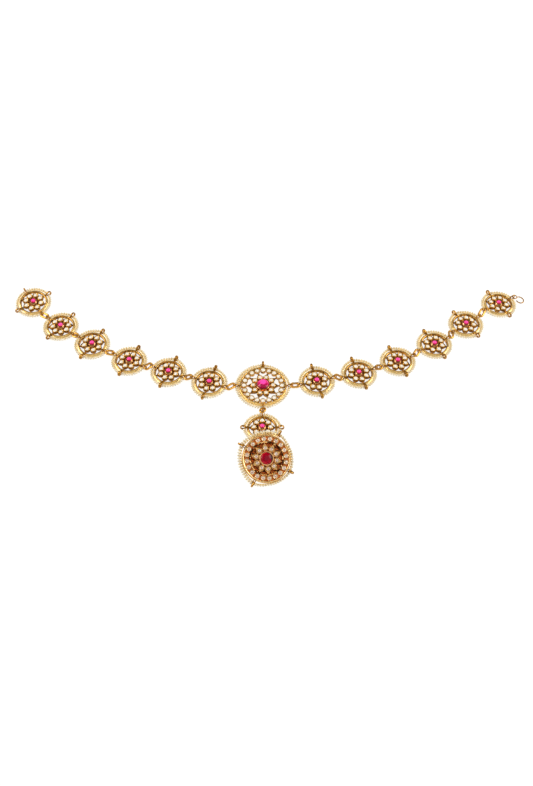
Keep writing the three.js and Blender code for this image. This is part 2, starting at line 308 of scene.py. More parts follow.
@dataclass(frozen=True)
class GoldFinish:
    """Soft high-carat gold, smoother on its high parts, with light and shade painted into its colour.

    Painted shade darkens its recesses and the gold inside the rim. Patches of painted shadow lie in
    the recesses and, where a ring is set, arcs of it lie on the ring. A painted orange glow lies in the
    recesses near the rim, a painted highlight on the rim's outside and a painted reflection of the
    ruby round its setting. Places on the way out from a medallion's axis are shares of its rim's
    radius, and the relief runs from 0 in the recesses to 1 on the crests.
    """

    name: str = "burnished_gold"
    # Two golds that differ at random, then a painted highlight for the rim's outside and painted shade for
    # the gold inside the rim.
    bright: Colour = (0.96, 0.68, 0.23)
    warm: Colour = (0.88, 0.51, 0.11)
    pale: Colour = (1.0, 0.80, 0.40)
    dim: Colour = (0.64, 0.38, 0.09)
    # Painted shade for the recesses, a painted orange glow for those near the rim, painted shadow, and a
    # painted reflection of the ruby.
    recess: Colour = (0.34, 0.14, 0.02)
    ember: Colour = (0.62, 0.28, 0.04)
    shadow: Colour = (0.17, 0.06, 0.008)
    ruby_reflection: Colour = (1.0, 0.46, 0.32)
    ruby_reflection_from: float = 0.26
    ruby_reflection_to: float = 0.42
    ruby_reflection_share: float = 0.5
    unshaded_from: float = 0.6
    unshaded_to: float = 1.0
    outer_from: float = 0.8
    pale_from: float = 0.985
    shadow_arcs_from: float = 1.0
    shadow_arcs_to: float = 1.0
    unshadowed_from: float = 0.46
    glow_share: float = 0.0
    metal: float = 1.0
    outer_metal: float = 1.0
    recess_metal: float = 1.0
    pale_metal: float = 0.62
    smooth: float = 0.1
    dull: float = 0.28
    hammered_mm: float = 0.04
    clouds_per_mm: float = 0.45
    rubs_per_mm: float = 2.2
    fine_per_mm: float = 9.0
    shadow_arcs_per_mm: float = 0.33
    shadow_patches_per_mm: float = 0.7

    def material(self) -> bpy.types.Material:
        """Builds the gold.

        Returns:
            The material.
        """
        bench = ShaderBench(self.name)
        clouds = bench.grain(self.clouds_per_mm, 3.0)
        rubbed = bench.grain(self.rubs_per_mm, 3.0, (1.0, 1.0, 3.5))
        fine = bench.grain(self.fine_per_mm)
        relief = bench.attribute("relief")
        outward = bench.attribute("outward")
        outer = outward.between(self.outer_from, self.outer_from + 0.1)
        crest_colour = bench.blend(clouds.between(0.35, 0.65), self.bright, self.warm)
        # Painted shade: the gold inside the rim is dimmer than the gold outside it.
        crest_colour = bench.blend(outer, self.dim, crest_colour)
        # Painted light in streaks on the outer parts: a highlight on the medallions' gold, and darker shade
        # on the wire of the eyelets and the hook.
        outside_painted_light = outward.between(self.pale_from, self.pale_from + 0.01) * rubbed.between(0.1, 0.7)
        crest_colour = bench.blend(outside_painted_light, crest_colour, self.pale)
        # Arcs of painted shadow on a ring, where a ring is set.
        ring = outward.over(self.shadow_arcs_from) - outward.over(self.shadow_arcs_to)
        shadow_arcs = ring * bench.grain(self.shadow_arcs_per_mm, 1.0).between(0.5, 0.53)
        crest_colour = bench.blend(shadow_arcs, crest_colour, self.shadow)
        # Where the relief is low the colour turns to painted shade; high parts keep the crest colour.
        unshaded = (relief + (rubbed - 0.5) * 0.3).between(self.unshaded_from, self.unshaded_to)
        # Painted shade for the recesses, turning to a painted orange glow near the rim.
        low = bench.blend(outer, self.recess, self.ember)
        # Patches of painted shadow in the recesses, fewer of them near the rim.
        unshadowed = bench.grain(self.shadow_patches_per_mm).between(self.unshadowed_from, self.unshadowed_from + 0.08)
        deep = bench.blend(unshadowed.larger(outer * self.glow_share), self.shadow, low)
        # A painted reflection of the ruby on the gold round its setting.
        ruby_reflection_mask = (1 - outward.between(self.ruby_reflection_from, self.ruby_reflection_to)) * self.ruby_reflection_share
        colour = bench.blend(ruby_reflection_mask, bench.blend(unshaded, deep, crest_colour), self.ruby_reflection)
        metal = (self.recess_metal + (1 - self.recess_metal) * unshaded) * self.metal
        shine = (1 - outside_painted_light * (1 - self.pale_metal)) * (1 - outer * (1 - self.outer_metal))
        roughness = self.smooth + (self.dull - self.smooth) * rubbed.between(0.35, 0.7)
        height = clouds * 1.5 + rubbed * 0.5 + fine * 0.15
        return bench.finish(
            {
                "Base Color": colour,
                "Metallic": metal * shine,
                "Roughness": roughness + (1 - unshaded) * 0.15,
                "Normal": bench.bump(height, self.hammered_mm),
            }
        )


@dataclass(frozen=True)
class PearlFinish:
    """Seed pearls, each of its own cream, with a painted reflection of the gold on the side that faces the
    rim.
    """

    name: str = "seed_pearl"
    white: Colour = (0.79, 0.72, 0.57)
    cream: Colour = (0.72, 0.58, 0.34)
    reflected_gold: Colour = (0.78, 0.54, 0.15)
    skin_per_mm: float = 1.6
    pits_per_mm: float = 7.0
    pitted_mm: float = 0.012

    def material(self) -> bpy.types.Material:
        """Builds the nacre.

        Returns:
            The material.
        """
        bench = ShaderBench(self.name)
        skin = bench.grain(self.skin_per_mm)
        pits = bench.grain(self.pits_per_mm)
        share = bench.attribute("tone") * 0.8 + (skin - 0.5) * 0.6
        own = bench.blend(share, self.white, self.cream)
        # A painted reflection of the gold rim on the side of each pearl that faces it.
        gold_reflection_share = (bench.attribute("inner") + (skin - 0.5) * 0.3).between(0.35, 0.95)
        return bench.finish(
            {
                "Base Color": bench.blend(gold_reflection_share * 0.85, own, self.reflected_gold),
                "Roughness": 0.2 + 0.16 * pits,
                "IOR": 1.55,
                "Coat Weight": 0.25,
                "Coat Roughness": 0.08,
                "Normal": bench.bump(skin + pits * 0.3, self.pitted_mm),
            }
        )


@dataclass(frozen=True)
class DiamondFinish:
    """Flat-cut diamonds over foil, each stone of its own tone, each facet painted its own brightness and the
    middle painted with light from the foil.
    """

    name: str = "foiled_diamond"
    clear: Colour = (0.95, 0.90, 0.80)
    smoky_and_shaded: Colour = (0.72, 0.58, 0.38)
    heart: Colour = (0.98, 0.98, 0.95)
    smoke_and_shade: float = 0.9
    flaws_per_mm: float = 1.1
    etched_mm: float = 0.01

    def material(self) -> bpy.types.Material:
        """Builds the stone.

        Returns:
            The material.
        """
        bench = ShaderBench(self.name)
        flaws = bench.grain(self.flaws_per_mm, 3.0)
        # Each facet is painted its own brightness, as if it caught the light, over each stone's own tone and
        # flaws.
        facet_sheen_and_tone = bench.attribute("facet") * 0.6 + bench.attribute("tone") * 0.4 + (flaws - 0.5) * 0.5
        face = bench.blend(facet_sheen_and_tone * self.smoke_and_shade, self.clear, self.smoky_and_shaded)
        # Painted light in the middle of the stone, as if from the foil.
        core = (bench.attribute("core") + (flaws - 0.5) * 0.4).between(0.45, 0.8)
        return bench.finish(
            {
                "Base Color": bench.blend(core, face, self.heart),
                "Roughness": 0.04 + 0.1 * flaws.between(0.5, 0.8),
                "IOR": 1.9,
                "Normal": bench.bump(flaws, self.etched_mm),
            }
        )


@dataclass(frozen=True)
class RubyFinish:
    """Foiled ruby with a painted glow where light would come back through it, also emitted, and painted shade
    on its darker side.
    """

    name: str
    glow: Colour
    body: Colour
    dark: Colour
    lit: float
    gloss: float = 0.35
    glow_from: float = 0.35
    glow_to: float = 0.75
    silk_per_mm: float = 0.5

    def material(self) -> bpy.types.Material:
        """Builds the stone.

        Returns:
            The material.
        """
        bench = ShaderBench(self.name)
        silk = bench.grain(self.silk_per_mm)
        facet, core, lean = (bench.attribute(name) for name in ("facet", "core", "lean"))
        # Painted shade: darker on the stone's darker side, towards its girdle and on some facets.
        depth = (facet * 0.5 - lean * 0.7 + core * 0.4 + (silk - 0.5) * 0.6 + 0.15).between(0.0, 0.75)
        ground = bench.blend(depth, self.dark, self.body)
        # A painted glow where light would come back through the stone, strongest in the middle.
        light = core * 0.9 + facet * 0.25 - lean * 0.35 + (silk - 0.5) * 0.3
        colour = bench.blend(light.between(self.glow_from, self.glow_to), ground, self.glow)
        return bench.finish(
            {
                "Base Color": colour,
                "Roughness": 0.03 + 0.05 * silk,
                "IOR": 1.77,
                "Specular IOR Level": self.gloss,
                # The painted colour also emits light, as if lit from within, though the stone is no lamp.
                "Emission Color": colour,
                "Emission Strength": self.lit,
            }
        )


@dataclass(frozen=True)
class SilkFinish:
    """The gilt silk that the pearls are strung on and stitched down with."""

    name: str = "gilt_stringing_silk"
    pale: Colour = (1.0, 0.92, 0.64)
    deep: Colour = (1.0, 0.78, 0.38)
    twists_per_mm: float = 6.0
    twisted_mm: float = 0.02

    def material(self) -> bpy.types.Material:
        """Builds the twisted thread.

        Returns:
            The material.
        """
        bench = ShaderBench(self.name)
        twist = bench.grain(self.twists_per_mm)
        return bench.finish(
            {
                "Base Color": bench.blend(twist, self.pale, self.deep),
                "Metallic": 0.6 + 0.3 * twist,
                "Roughness": 0.35 + 0.2 * twist,
                "Normal": bench.bump(twist, self.twisted_mm),
            }
        )


@dataclass(frozen=True)
class TableFinish:
    """The pale matt surface under the headpiece."""

    name: str = "pale_table"
    pale: Colour = (0.20, 0.20, 0.20)
    shade: Colour = (0.17, 0.17, 0.17)
    light: Colour = (1.0, 0.99, 0.965)
    lit: float = 0.91
    tooth_per_mm: float = 0.8

    def material(self) -> bpy.types.Material:
        """Builds the surface.

        Returns:
            The material.
        """
        bench = ShaderBench(self.name)
        tooth = bench.grain(self.tooth_per_mm)
        return bench.finish(
            {
                "Base Color": bench.blend(tooth, self.pale, self.shade),
                "Roughness": 0.85 + 0.1 * tooth,
                "Specular IOR Level": 0.1,
                "Emission Color": (*self.light, 1.0),
                "Emission Strength": self.lit,
            }
        )


class Finishes:
    """Every material of the headpiece, made once."""

    def __init__(self) -> None:
        """Makes the materials."""
        self.gold = GoldFinish(ruby_reflection=(1.0, 0.6, 0.34)).material()
        self.great_gold = GoldFinish(
            name="burnished_gold_great",
            bright=(1.0, 0.74, 0.27),
            warm=(0.96, 0.60, 0.14),
            dim=(0.74, 0.46, 0.12),
            ember=(0.85, 0.40, 0.06),
            outer_from=0.62,
            outer_metal=0.75,
        ).material()
        # The pendant's gold: a painted orange-red glow, as of light bouncing between the gold, fills its
        # recesses among patches of painted shadow; arcs of painted shadow and a painted highlight lie on its
        # ridge, the highlight also on the parts outside it.
        self.glowing_gold = GoldFinish(
            name="glowing_recess_gold",
            bright=(0.90, 0.62, 0.27),
            warm=(0.72, 0.38, 0.12),
            pale=(0.98, 0.73, 0.36),
            dim=(0.82, 0.53, 0.21),
            recess=(0.95, 0.24, 0.015),
            ember=(0.84, 0.24, 0.02),
            shadow=(0.06, 0.02, 0.008),
            outer_from=0.62,
            ruby_reflection=(0.82, 0.42, 0.20),
            pale_from=0.65,
            pale_metal=1.0,
            unshaded_from=0.5,
            unshaded_to=0.7,
            recess_metal=0.35,
            smooth=0.06,
            hammered_mm=0.11,
            shadow_arcs_from=0.66,
            shadow_arcs_to=0.735,
            unshadowed_from=0.4,
            glow_share=0.8,
        ).material()
        # The wire of links, eyelets and hook: near-black and bright orange patches along it are painted shade
        # and painted glints, and its pale colour is a darker painted shade on the eyelets and the hook.
        self.wire = GoldFinish(
            name="drawn_gold_wire",
            bright=(0.96, 0.53, 0.085),
            warm=(0.11, 0.036, 0.003),
            dim=(0.95, 0.50, 0.10),
            pale_from=0.9,
            pale=(0.40, 0.18, 0.018),
            metal=0.75,
            pale_metal=0.9,
            smooth=0.12,
            dull=0.26,
            hammered_mm=0.008,
            clouds_per_mm=0.6,
        ).material()
        self.pearl = PearlFinish().material()
        self.diamond = DiamondFinish().material()
        # The pendant's diamonds: duskier, with painted shade in their middles.
        self.dusky_diamond = DiamondFinish(
            name="foiled_diamond_dusky",
            clear=(0.86, 0.78, 0.74),
            smoky_and_shaded=(0.50, 0.36, 0.27),
            heart=(0.42, 0.14, 0.08),
        ).material()
        # Rubies: glow is a painted glow, dark a painted shade, and lit sets how brightly the painted colour
        # emits.
        self.pink_ruby = RubyFinish(
            name="pink_ruby",
            glow=(1.0, 0.07, 0.40),
            body=(0.72, 0.01, 0.14),
            dark=(0.28, 0.0, 0.035),
            lit=0.22,
            gloss=0.22,
        ).material()
        self.small_ruby = RubyFinish(
            name="small_pink_ruby",
            glow=(1.0, 0.07, 0.36),
            body=(0.80, 0.015, 0.17),
            dark=(0.42, 0.0, 0.05),
            lit=0.25,
            gloss=0.22,
            glow_from=0.1,
            glow_to=0.5,
        ).material()
        self.deep_ruby = RubyFinish(
            name="deep_ruby",
            glow=(0.20, 0.001, 0.012),
            body=(0.56, 0.002, 0.018),
            dark=(0.05, 0.001, 0.004),
            lit=0.03,
            gloss=0.12,
        ).material()
        self.silk = SilkFinish().material()
        self.table = TableFinish().material()


# ---------------------------------------------------------------- plain meshes


def mesh_of(
    name: str, points: Sequence[Sequence[float]], faces: Sequence[Sequence[int]]
) -> bpy.types.Mesh:
    """A mesh whose doubles are merged and whose faces point outwards.

    Args:
        name: The mesh's name.
        points: Its corners.
        faces: Each face's corners, by number.

    Returns:
        The mesh.
    """
    mesh = bpy.data.meshes.new(name)
    mesh.from_pydata([tuple(point) for point in points], [], [tuple(face) for face in faces])
    body = bmesh.new()
    body.from_mesh(mesh)
    bmesh.ops.remove_doubles(body, verts=body.verts, dist=1e-5)
    bmesh.ops.recalc_face_normals(body, faces=body.faces)
    body.to_mesh(mesh)
    body.free()
    return mesh


def turned(
    name: str, profile: Profile, sides: int, swell: Callable[[int, float], float] | None = None
) -> bpy.types.Mesh:
    """A profile turned about +Z.

    Args:
        name: The mesh's name.
        profile: (radius, height) pairs, from axis to axis or round a closed loop.
        sides: Steps round the axis.
        swell: Gives each profile point's radius factor at an angle.

    Returns:
        The closed mesh.
    """
    points: list[tuple[float, float, float]] = []
    rings: list[list[int]] = []
    for row, (radius, height) in enumerate(profile):
        start = len(points)
        if radius < 1e-9:
            points.append((0.0, 0.0, height))
            rings.append([start] * sides)
            continue
        for step in range(sides):
            angle = TAU * step / sides
            reach = radius * (swell(row, angle) if swell else 1.0)
            points.append((reach * math.cos(angle), reach * math.sin(angle), height))
        rings.append(list(range(start, start + sides)))
    on_axis = profile[0][0] < 1e-9
    pairs = list(zip(rings, rings[1:])) + ([] if on_axis else [(rings[-1], rings[0])])
    faces = []
    for lower, upper in pairs:
        for step in range(sides):
            after = (step + 1) % sides
            corners = [lower[step], lower[after], upper[after], upper[step]]
            faces.append(list(dict.fromkeys(corners)))
    return mesh_of(name, points, faces)


def mark(mesh: bpy.types.Mesh, name: str, numbers: Sequence[float], domain: str = "POINT") -> None:
    """Stores a number on each of a mesh's points, or on each face."""
    mesh.attributes.new(name, "FLOAT", domain).data.foreach_set("value", numbers)


def cut_stone(
    name: str, rings: Sequence[tuple[int, float, float, float]], seed: int, shade: float = 0.0
) -> bpy.types.Mesh:
    """A faceted stone: the hull of rings of corners.

    Args:
        name: The mesh's name.
        rings: (corners, radius, height, first angle) of each ring.
        seed: Chooses how the cutter's hand strayed.
        shade: The way to the stone's darker side, as an angle.

    Returns:
        The stone. Its "core" runs from 0 at the girdle to 1 on the axis, its "lean" from -1 to 1
        towards the darker side, and its "facet" is a chance number for each face.
    """
    stray = random.Random(seed)
    body = bmesh.new()
    for count, radius, height, first in rings:
        for step in range(count):
            angle = first + TAU * step / count + stray.uniform(-0.05, 0.05)
            reach = radius * stray.uniform(0.965, 1.0)
            body.verts.new((reach * math.cos(angle), reach * math.sin(angle), height))
    hull = bmesh.ops.convex_hull(body, input=body.verts)
    buried = hull["geom_interior"] + hull["geom_unused"]
    spare = {item for item in buried if isinstance(item, bmesh.types.BMVert)}
    bmesh.ops.delete(body, geom=list(spare), context="VERTS")
    bmesh.ops.recalc_face_normals(body, faces=body.faces)
    mesh = bpy.data.meshes.new(name)
    body.to_mesh(mesh)
    body.free()
    girdle = max(radius for _, radius, _, _ in rings)
    dark_side = Vector((math.cos(shade), math.sin(shade))) / girdle
    flat = [vertex.co.to_2d() for vertex in mesh.vertices]
    mark(mesh, "core", [1 - spot.length / girdle for spot in flat])
    mark(mesh, "lean", [spot.dot(dark_side) for spot in flat])
    mark(mesh, "facet", [stray.random() for _ in mesh.polygons], "FACE")
    return mesh


def joined(name: str, meshes: Sequence[bpy.types.Mesh]) -> bpy.types.Mesh:
    """Several plain meshes as one, without their attributes.

    Args:
        name: The new mesh's name.
        meshes: The meshes.

    Returns:
        The new mesh.
    """
    body = bmesh.new()
    for mesh in meshes:
        body.from_mesh(mesh)
    whole = bpy.data.meshes.new(name)
    body.to_mesh(whole)
    body.free()
    return whole


def smoothed(mesh: bpy.types.Mesh, crease: float) -> None:
    """Shades a mesh smooth, but for edges that turn by more than crease degrees."""
    mesh.shade_smooth()
    mesh.set_sharp_from_angle(angle=math.radians(crease))


def chains(
    name: str,
    runs: Sequence[tuple[Sequence[Vector], bool]],
    marks: dict[str, Sequence[float]] | None = None,
) -> bpy.types.Mesh:
    """A mesh of bare edges, for node trees that follow paths.

    Args:
        name: The mesh's name.
        runs: Each path's points, and whether it closes on itself.
        marks: Numbers to store for each path, one per path, by attribute name.

    Returns:
        The mesh.
    """
    points: list[Vector] = []
    edges: list[tuple[int, int]] = []
    owner: list[int] = []
    for number, (run, closes) in enumerate(runs):
        start = len(points)
        points.extend(run)
        owner.extend([number] * len(run))
        edges.extend((start + step, start + step + 1) for step in range(len(run) - 1))
        if closes:
            edges.append((len(points) - 1, start))
    mesh = bpy.data.meshes.new(name)
    mesh.from_pydata([tuple(point) for point in points], edges, [])
    for title, numbers in (marks or {}).items():
        mark(mesh, title, [numbers[number] for number in owner])
    return mesh


class Side(Enum):
    """The four sides of a medallion that carry an eyelet, counted in quarter turns."""

    AHEAD = 0
    LEFT = 1
    BEHIND = 2
    RIGHT = 3

    def label(self, of: str) -> str:
        """The name of a tree's input for this side, such as Reach ahead."""
        return f"{of} {self.name.lower()}"


class Choice(IntEnum):
    """What a tree leaves to chance, each with its own run of random numbers."""

    SIZE = 1
    TONE = 2
    SPIN = 3
    ROLL = 4
    HEIGHT = 5
    LENGTH = 6
    BREADTH = 7


# ---------------------------------------------------------------- node trees for repeated work


class GrowthTree(NodeBench):
    """A geometry node tree with named inputs, grown on a carrier mesh into a plain one."""

    def __init__(self, name: str, inputs: dict[str, str]) -> None:
        """Makes the tree.

        Args:
            name: The tree's name.
            inputs: The kind of each named input: Int, Float, Object or Material.
        """
        tree = bpy.data.node_groups.new(name, "GeometryNodeTree")
        tree.is_modifier = True
        super().__init__(tree)
        face = tree.interface
        face.new_socket(name="Geometry", in_out="INPUT", socket_type="NodeSocketGeometry")
        face.new_socket(name="Geometry", in_out="OUTPUT", socket_type="NodeSocketGeometry")
        self.identifiers = {}
        for label, kind in inputs.items():
            socket = face.new_socket(name=label, in_out="INPUT", socket_type=f"NodeSocket{kind}")
            self.identifiers[label] = socket.identifier
        self.given = self.add("NodeGroupInput")

    def given_socket(self, label: str) -> bpy.types.NodeSocket:
        """The socket of one of the tree's inputs."""
        return self.socket(self.given.outputs, label)

    def number(self, label: str) -> Value:
        """One of the tree's inputs as a number."""
        return Value(self, self.given_socket(label))

    def through(self, kind: str, geometry: Any, settings: Sockets | None = None, **inputs: Any) -> Any:
        """Passes geometry through one node.

        Args:
            kind: The node's type.
            geometry: The geometry's socket.
            settings: The node's own settings.
            inputs: Its other sockets, underscores standing for spaces.

        Returns:
            The node's first output.
        """
        named = {label.replace("_", " "): value for label, value in inputs.items()}
        node = self.add(kind, settings, named)
        self.feed(node.inputs[0], geometry)
        return node.outputs[0]

    def vector(self, x: Any, y: Any, z: Any) -> bpy.types.NodeSocket:
        """Three numbers as a vector."""
        return self.add("ShaderNodeCombineXYZ", None, {"X": x, "Y": y, "Z": z}).outputs[0]

    def index(self) -> Value:
        """The number of each point or copy."""
        return self.value(self.add("GeometryNodeInputIndex"), "Index")

    def parts_of(self, vector: bpy.types.NodeSocket) -> list[Value]:
        """A vector's x, y and z."""
        parts = self.add("ShaderNodeSeparateXYZ", None, {"Vector": vector})
        return [self.value(parts, axis) for axis in "XYZ"]

    def position(self) -> list[Value]:
        """Each point's own x, y and z."""
        return self.parts_of(self.add("GeometryNodeInputPosition").outputs[0])

    def named(self, name: str) -> Value:
        """A number that is stored on the geometry."""
        node = self.add("GeometryNodeInputNamedAttribute", {"data_type": "FLOAT"}, {"Name": name})
        return self.value(node, "Attribute")

    def from_axis(self) -> Value:
        """How far each point is from the +Z axis."""
        x, y, _ = self.position()
        return (x * x + y * y) ** 0.5

    def chance(self, low: float, high: float, seed: Value, choice: Choice) -> Value:
        """A random number for each point or copy.

        Args:
            low: The least value.
            high: The greatest value.
            seed: The piece's own seed.
            choice: What the number is for.

        Returns:
            The number.
        """
        limits = {"Min": low, "Max": high, "Seed": seed + choice * 101}
        return self.value(self.add("FunctionNodeRandomValue", {"data_type": "FLOAT"}, limits), "Value")

    def points(self, count: Any, turn: Value, reach: Any, height: Any) -> Any:
        """Points round the +Z axis.

        Args:
            count: How many.
            turn: Each point's angle.
            reach: Each point's distance from the axis.
            height: Each point's height.

        Returns:
            The points.
        """
        place = self.vector(turn.cos() * reach, turn.sin() * reach, height)
        return self.add("GeometryNodePoints", None, {"Count": count, "Position": place}).outputs[0]

    def ring_of(self, copy: Any, count: Value, reach: Value, seed: Value, stray: float) -> Any:
        """Copies in a ring, each turned to face outwards.

        Args:
            copy: The geometry that is repeated.
            count: How many.
            reach: The ring's radius.
            seed: The piece's own seed.
            stray: How much a copy's size may vary, as a share.

        Returns:
            The copies, with a random "tone" on each.
        """
        turn = self.index() * (TAU / count)
        copies = self.through(
            "GeometryNodeInstanceOnPoints",
            self.points(count, turn, reach, 0.0),
            Instance=copy,
            Rotation=self.vector(0.0, 0.0, turn),
            Scale=self.chance(1.0 - stray, 1.0, seed, Choice.SIZE),
        )
        return self.toned(copies, seed)

    def toned(self, copies: Any, seed: Value) -> Any:
        """Stores a random "tone" on each copy."""
        return self.store(copies, "tone", self.chance(0.0, 1.0, seed, Choice.TONE), "INSTANCE")

    def shape_of(self, label: str) -> Any:
        """The geometry of one of the tree's object inputs.

        Args:
            label: The input's label.

        Returns:
            The geometry's socket.
        """
        shape = {"Object": self.given_socket(label)}
        node = self.add("GeometryNodeObjectInfo", {"transform_space": "ORIGINAL"}, shape)
        return self.socket(node.outputs, "Geometry")

    def joined(self, *parts: Any) -> Any:
        """Several geometries as one.

        Args:
            parts: Their sockets.

        Returns:
            The whole geometry's socket.
        """
        node = self.add("GeometryNodeJoinGeometry")
        for part in parts:
            self.tree.links.new(part, node.inputs[0])
        return node.outputs[0]

    def tube(self, path: Any, radius: Value, sides: Any) -> Any:
        """A round wire along a curve, with closed ends.

        Args:
            path: The curve.
            radius: The wire's radius.
            sides: The sides of its section.

        Returns:
            The wire's mesh.
        """
        size = {"Resolution": sides, "Radius": radius}
        section = self.add("GeometryNodeCurvePrimitiveCircle", {"mode": "RADIUS"}, size).outputs[0]
        return self.through("GeometryNodeCurveToMesh", path, Profile_Curve=section, Fill_Caps=True)

    def store(self, geometry: Any, name: str, value: Any, domain: str = "POINT") -> Any:
        """Stores a number on every point or copy.

        Args:
            geometry: The geometry's socket.
            name: The attribute's name.
            value: The number.
            domain: POINT or INSTANCE.

        Returns:
            The geometry with the attribute.
        """
        kind, settings = "GeometryNodeStoreNamedAttribute", {"data_type": "FLOAT", "domain": domain}
        return self.through(kind, geometry, settings, Name=name, Value=value)

    def close(self, geometry: Any, marks: Sockets | None = None, dress: Sockets | None = None) -> None:
        """Ends the tree: copies made real, numbers stored on them, then the materials set.

        Args:
            geometry: What has been grown.
            marks: The numbers to store once the copies are real, by attribute name.
            dress: Where each material goes, by the label of its input, True for everywhere.
        """
        real = self.through("GeometryNodeRealizeInstances", geometry)
        for name, value in (marks or {}).items():
            real = self.store(real, name, value)
        for label, where in (dress or {"Material": True}).items():
            material = self.given_socket(label)
            real = self.through("GeometryNodeSetMaterial", real, Material=material, Selection=where)
        self.add("NodeGroupOutput", None, {"Geometry": real})

    def grow(self, name: str, carrier: bpy.types.Mesh, given: Sockets) -> bpy.types.Mesh:
        """Runs the tree once.

        Args:
            name: The new mesh's name.
            carrier: The mesh that the tree starts from.
            given: A value for each named input.

        Returns:
            The plain mesh that was grown.
        """
        holder = bpy.data.objects.new(f"{name}_carrier", carrier)
        bpy.context.scene.collection.objects.link(holder)
        modifier = holder.modifiers.new("growth", "NODES")
        modifier.node_group = self.tree
        for label, value in given.items():
            modifier[self.identifiers[label]] = value
        ready = holder.evaluated_get(bpy.context.evaluated_depsgraph_get())
        mesh = bpy.data.meshes.new_from_object(ready)
        mesh.name = name
        bpy.data.objects.remove(holder)
        return mesh


class GoldworkTree(GrowthTree):
    """Petals, collets and coiled eyelets round a medallion's turned parts."""

    def __init__(self) -> None:
        """Wires the tree."""
        inputs = {
            "Petal": "Object", "Petals": "Int", "Petal reach": "Float", "Collet": "Object",
            "Collar collet": "Object", "Collar collets": "Int", "Collar reach": "Float",
            "Rim radius": "Float", "Recess height": "Float", "Crest height": "Float",
            "Eyelet height": "Float", "Coil radius": "Float", "Coil wire": "Float",
            "Coil width": "Float", "Seed": "Int", "Material": "Material", "Wire": "Material",
        }
        inputs |= {side.label(size): "Float" for size in ("Reach", "Breadth") for side in Side}
        super().__init__("medallion_goldwork", inputs)
        rings = [
            self._ring("Petal", "Petals", "Petal reach", 0.0),
            self._ring("Collet", "Petals", "Petal reach", 0.03),
            self._ring("Collar collet", "Collar collets", "Collar reach", 0.03),
        ]
        height = self.position()[2]
        recess, rim = self.number("Recess height"), self.number("Rim radius")
        relief = (height - recess) / (self.number("Crest height") - recess)
        outside = self.from_axis().over(rim - 0.1)
        back = self._back(height)
        # Relief brings painted shade into the recesses and is 1 outside the rim and on the back; outward
        # places the painted highlight, the painted shade inside the rim and the painted ruby reflection.
        marks = {
            "relief": relief.larger(outside).larger(back).between(0.0, 1.0),
            "outward": (self.from_axis() / rim).larger(back * 0.95).between(0.0, 1.0),
        }
        whole = self.joined(self.given_socket("Geometry"), *rings, *self._eyelets())
        self.close(whole, marks, {"Material": True, "Wire": self.named("wire")})

    def _ring(self, shape: str, count: str, reach: str, stray: float) -> Any:
        """One ring of a shape, by the labels of its inputs."""
        numbers = self.number(count), self.number(reach), self.number("Seed")
        return self.ring_of(self.shape_of(shape), *numbers, stray)

    def _back(self, height: Value) -> Value:
        """The outside of a closed back, which the painted recess shade and the painted ruby reflection leave
        alone.

        Args:
            height: Each point's height.

        Returns:
            1 on the back, else 0.
        """
        normal = self.parts_of(self.add("GeometryNodeInputNormal").outputs["Normal"])
        depth = 0 - height
        faces_down, under_lac = (0 - normal[2]).over(0.05), depth.over(1.2)
        return depth.over(0.05) * faces_down.larger(under_lac)

    def _eyelets(self) -> list[Any]:
        """Four two-turn coils with their stems.

        Returns:
            The coils and the stems, as copies with the mark "wire".
        """
        side = self.index()
        reach, breadth = self._by_side("Reach", side), self._by_side("Breadth", side)
        wire, radius = self.number("Coil wire"), self.number("Coil radius")
        width = self.number("Coil width") - wire * 2
        coil_sizes = {
            "Resolution": 14, "Rotations": 2.0, "Start Radius": radius, "End Radius": radius,
            "Height": width,
        }
        spiral = self.add("GeometryNodeCurveSpiral", None, coil_sizes).outputs[0]
        coil = self._moved(self._wire(spiral, wire), self.vector(0.0, 0.0, width * -0.5))
        for turn in ((0.0, 0.0, math.pi), (-QUARTER, 0.0, 0.0)):
            coil = self.through("GeometryNodeTransform", coil, Rotation=turn)
        coils = self._at_sides(coil, side, reach, self.vector(1.0, breadth, 1.0))
        unit = {"End": (1.0, 0.0, 0.0)}
        line = self.add("GeometryNodeCurvePrimitiveLine", {"mode": "POINTS"}, unit).outputs[0]
        inner = self.number("Rim radius") - 0.35
        stem_scale = self.vector(reach - radius - inner, breadth, 1.0)
        stems = []
        for hand in (-0.5, 0.5):
            stem = self._moved(self._wire(line, wire), self.vector(0.0, width * hand, 0.0))
            stems.append(self._at_sides(stem, side, inner, stem_scale))
        return [coils, *stems]

    def _wire(self, path: Any, radius: Value) -> Any:
        """A wire along a path, with the mark "wire"."""
        return self.store(self.tube(path, radius, 7), "wire", 1.0)

    def _moved(self, geometry: Any, way: Any) -> Any:
        """Geometry moved by a vector."""
        return self.through("GeometryNodeTransform", geometry, Translation=way)

    def _by_side(self, size: str, index: Value) -> Value:
        """One of the sizes that differ from side to side.

        Args:
            size: The size's label.
            index: The side's number.

        Returns:
            The size on that side.
        """
        settings = {"data_type": "FLOAT", "branches": len(Side)}
        switch = self.add("GeometryNodeIndexSwitch", settings, {"Index": index})
        for side in Side:
            self.feed(switch.inputs[side.value + 1], self.number(side.label(size)))
        return self.value(switch, "Output")

    def _at_sides(self, copy: Any, side: Value, reach: Value, scale: Any) -> Any:
        """A copy on each of the four sides, at the eyelets' height.

        Args:
            copy: The geometry that is repeated.
            side: Each side's number.
            reach: Each copy's distance out.
            scale: Each copy's scale.

        Returns:
            The copies.
        """
        turn = side * QUARTER
        points = self.points(len(Side), turn, reach, self.number("Eyelet height"))
        rotation = self.vector(0.0, 0.0, turn)
        return self.through(
            "GeometryNodeInstanceOnPoints", points, Instance=copy, Rotation=rotation, Scale=scale
        )


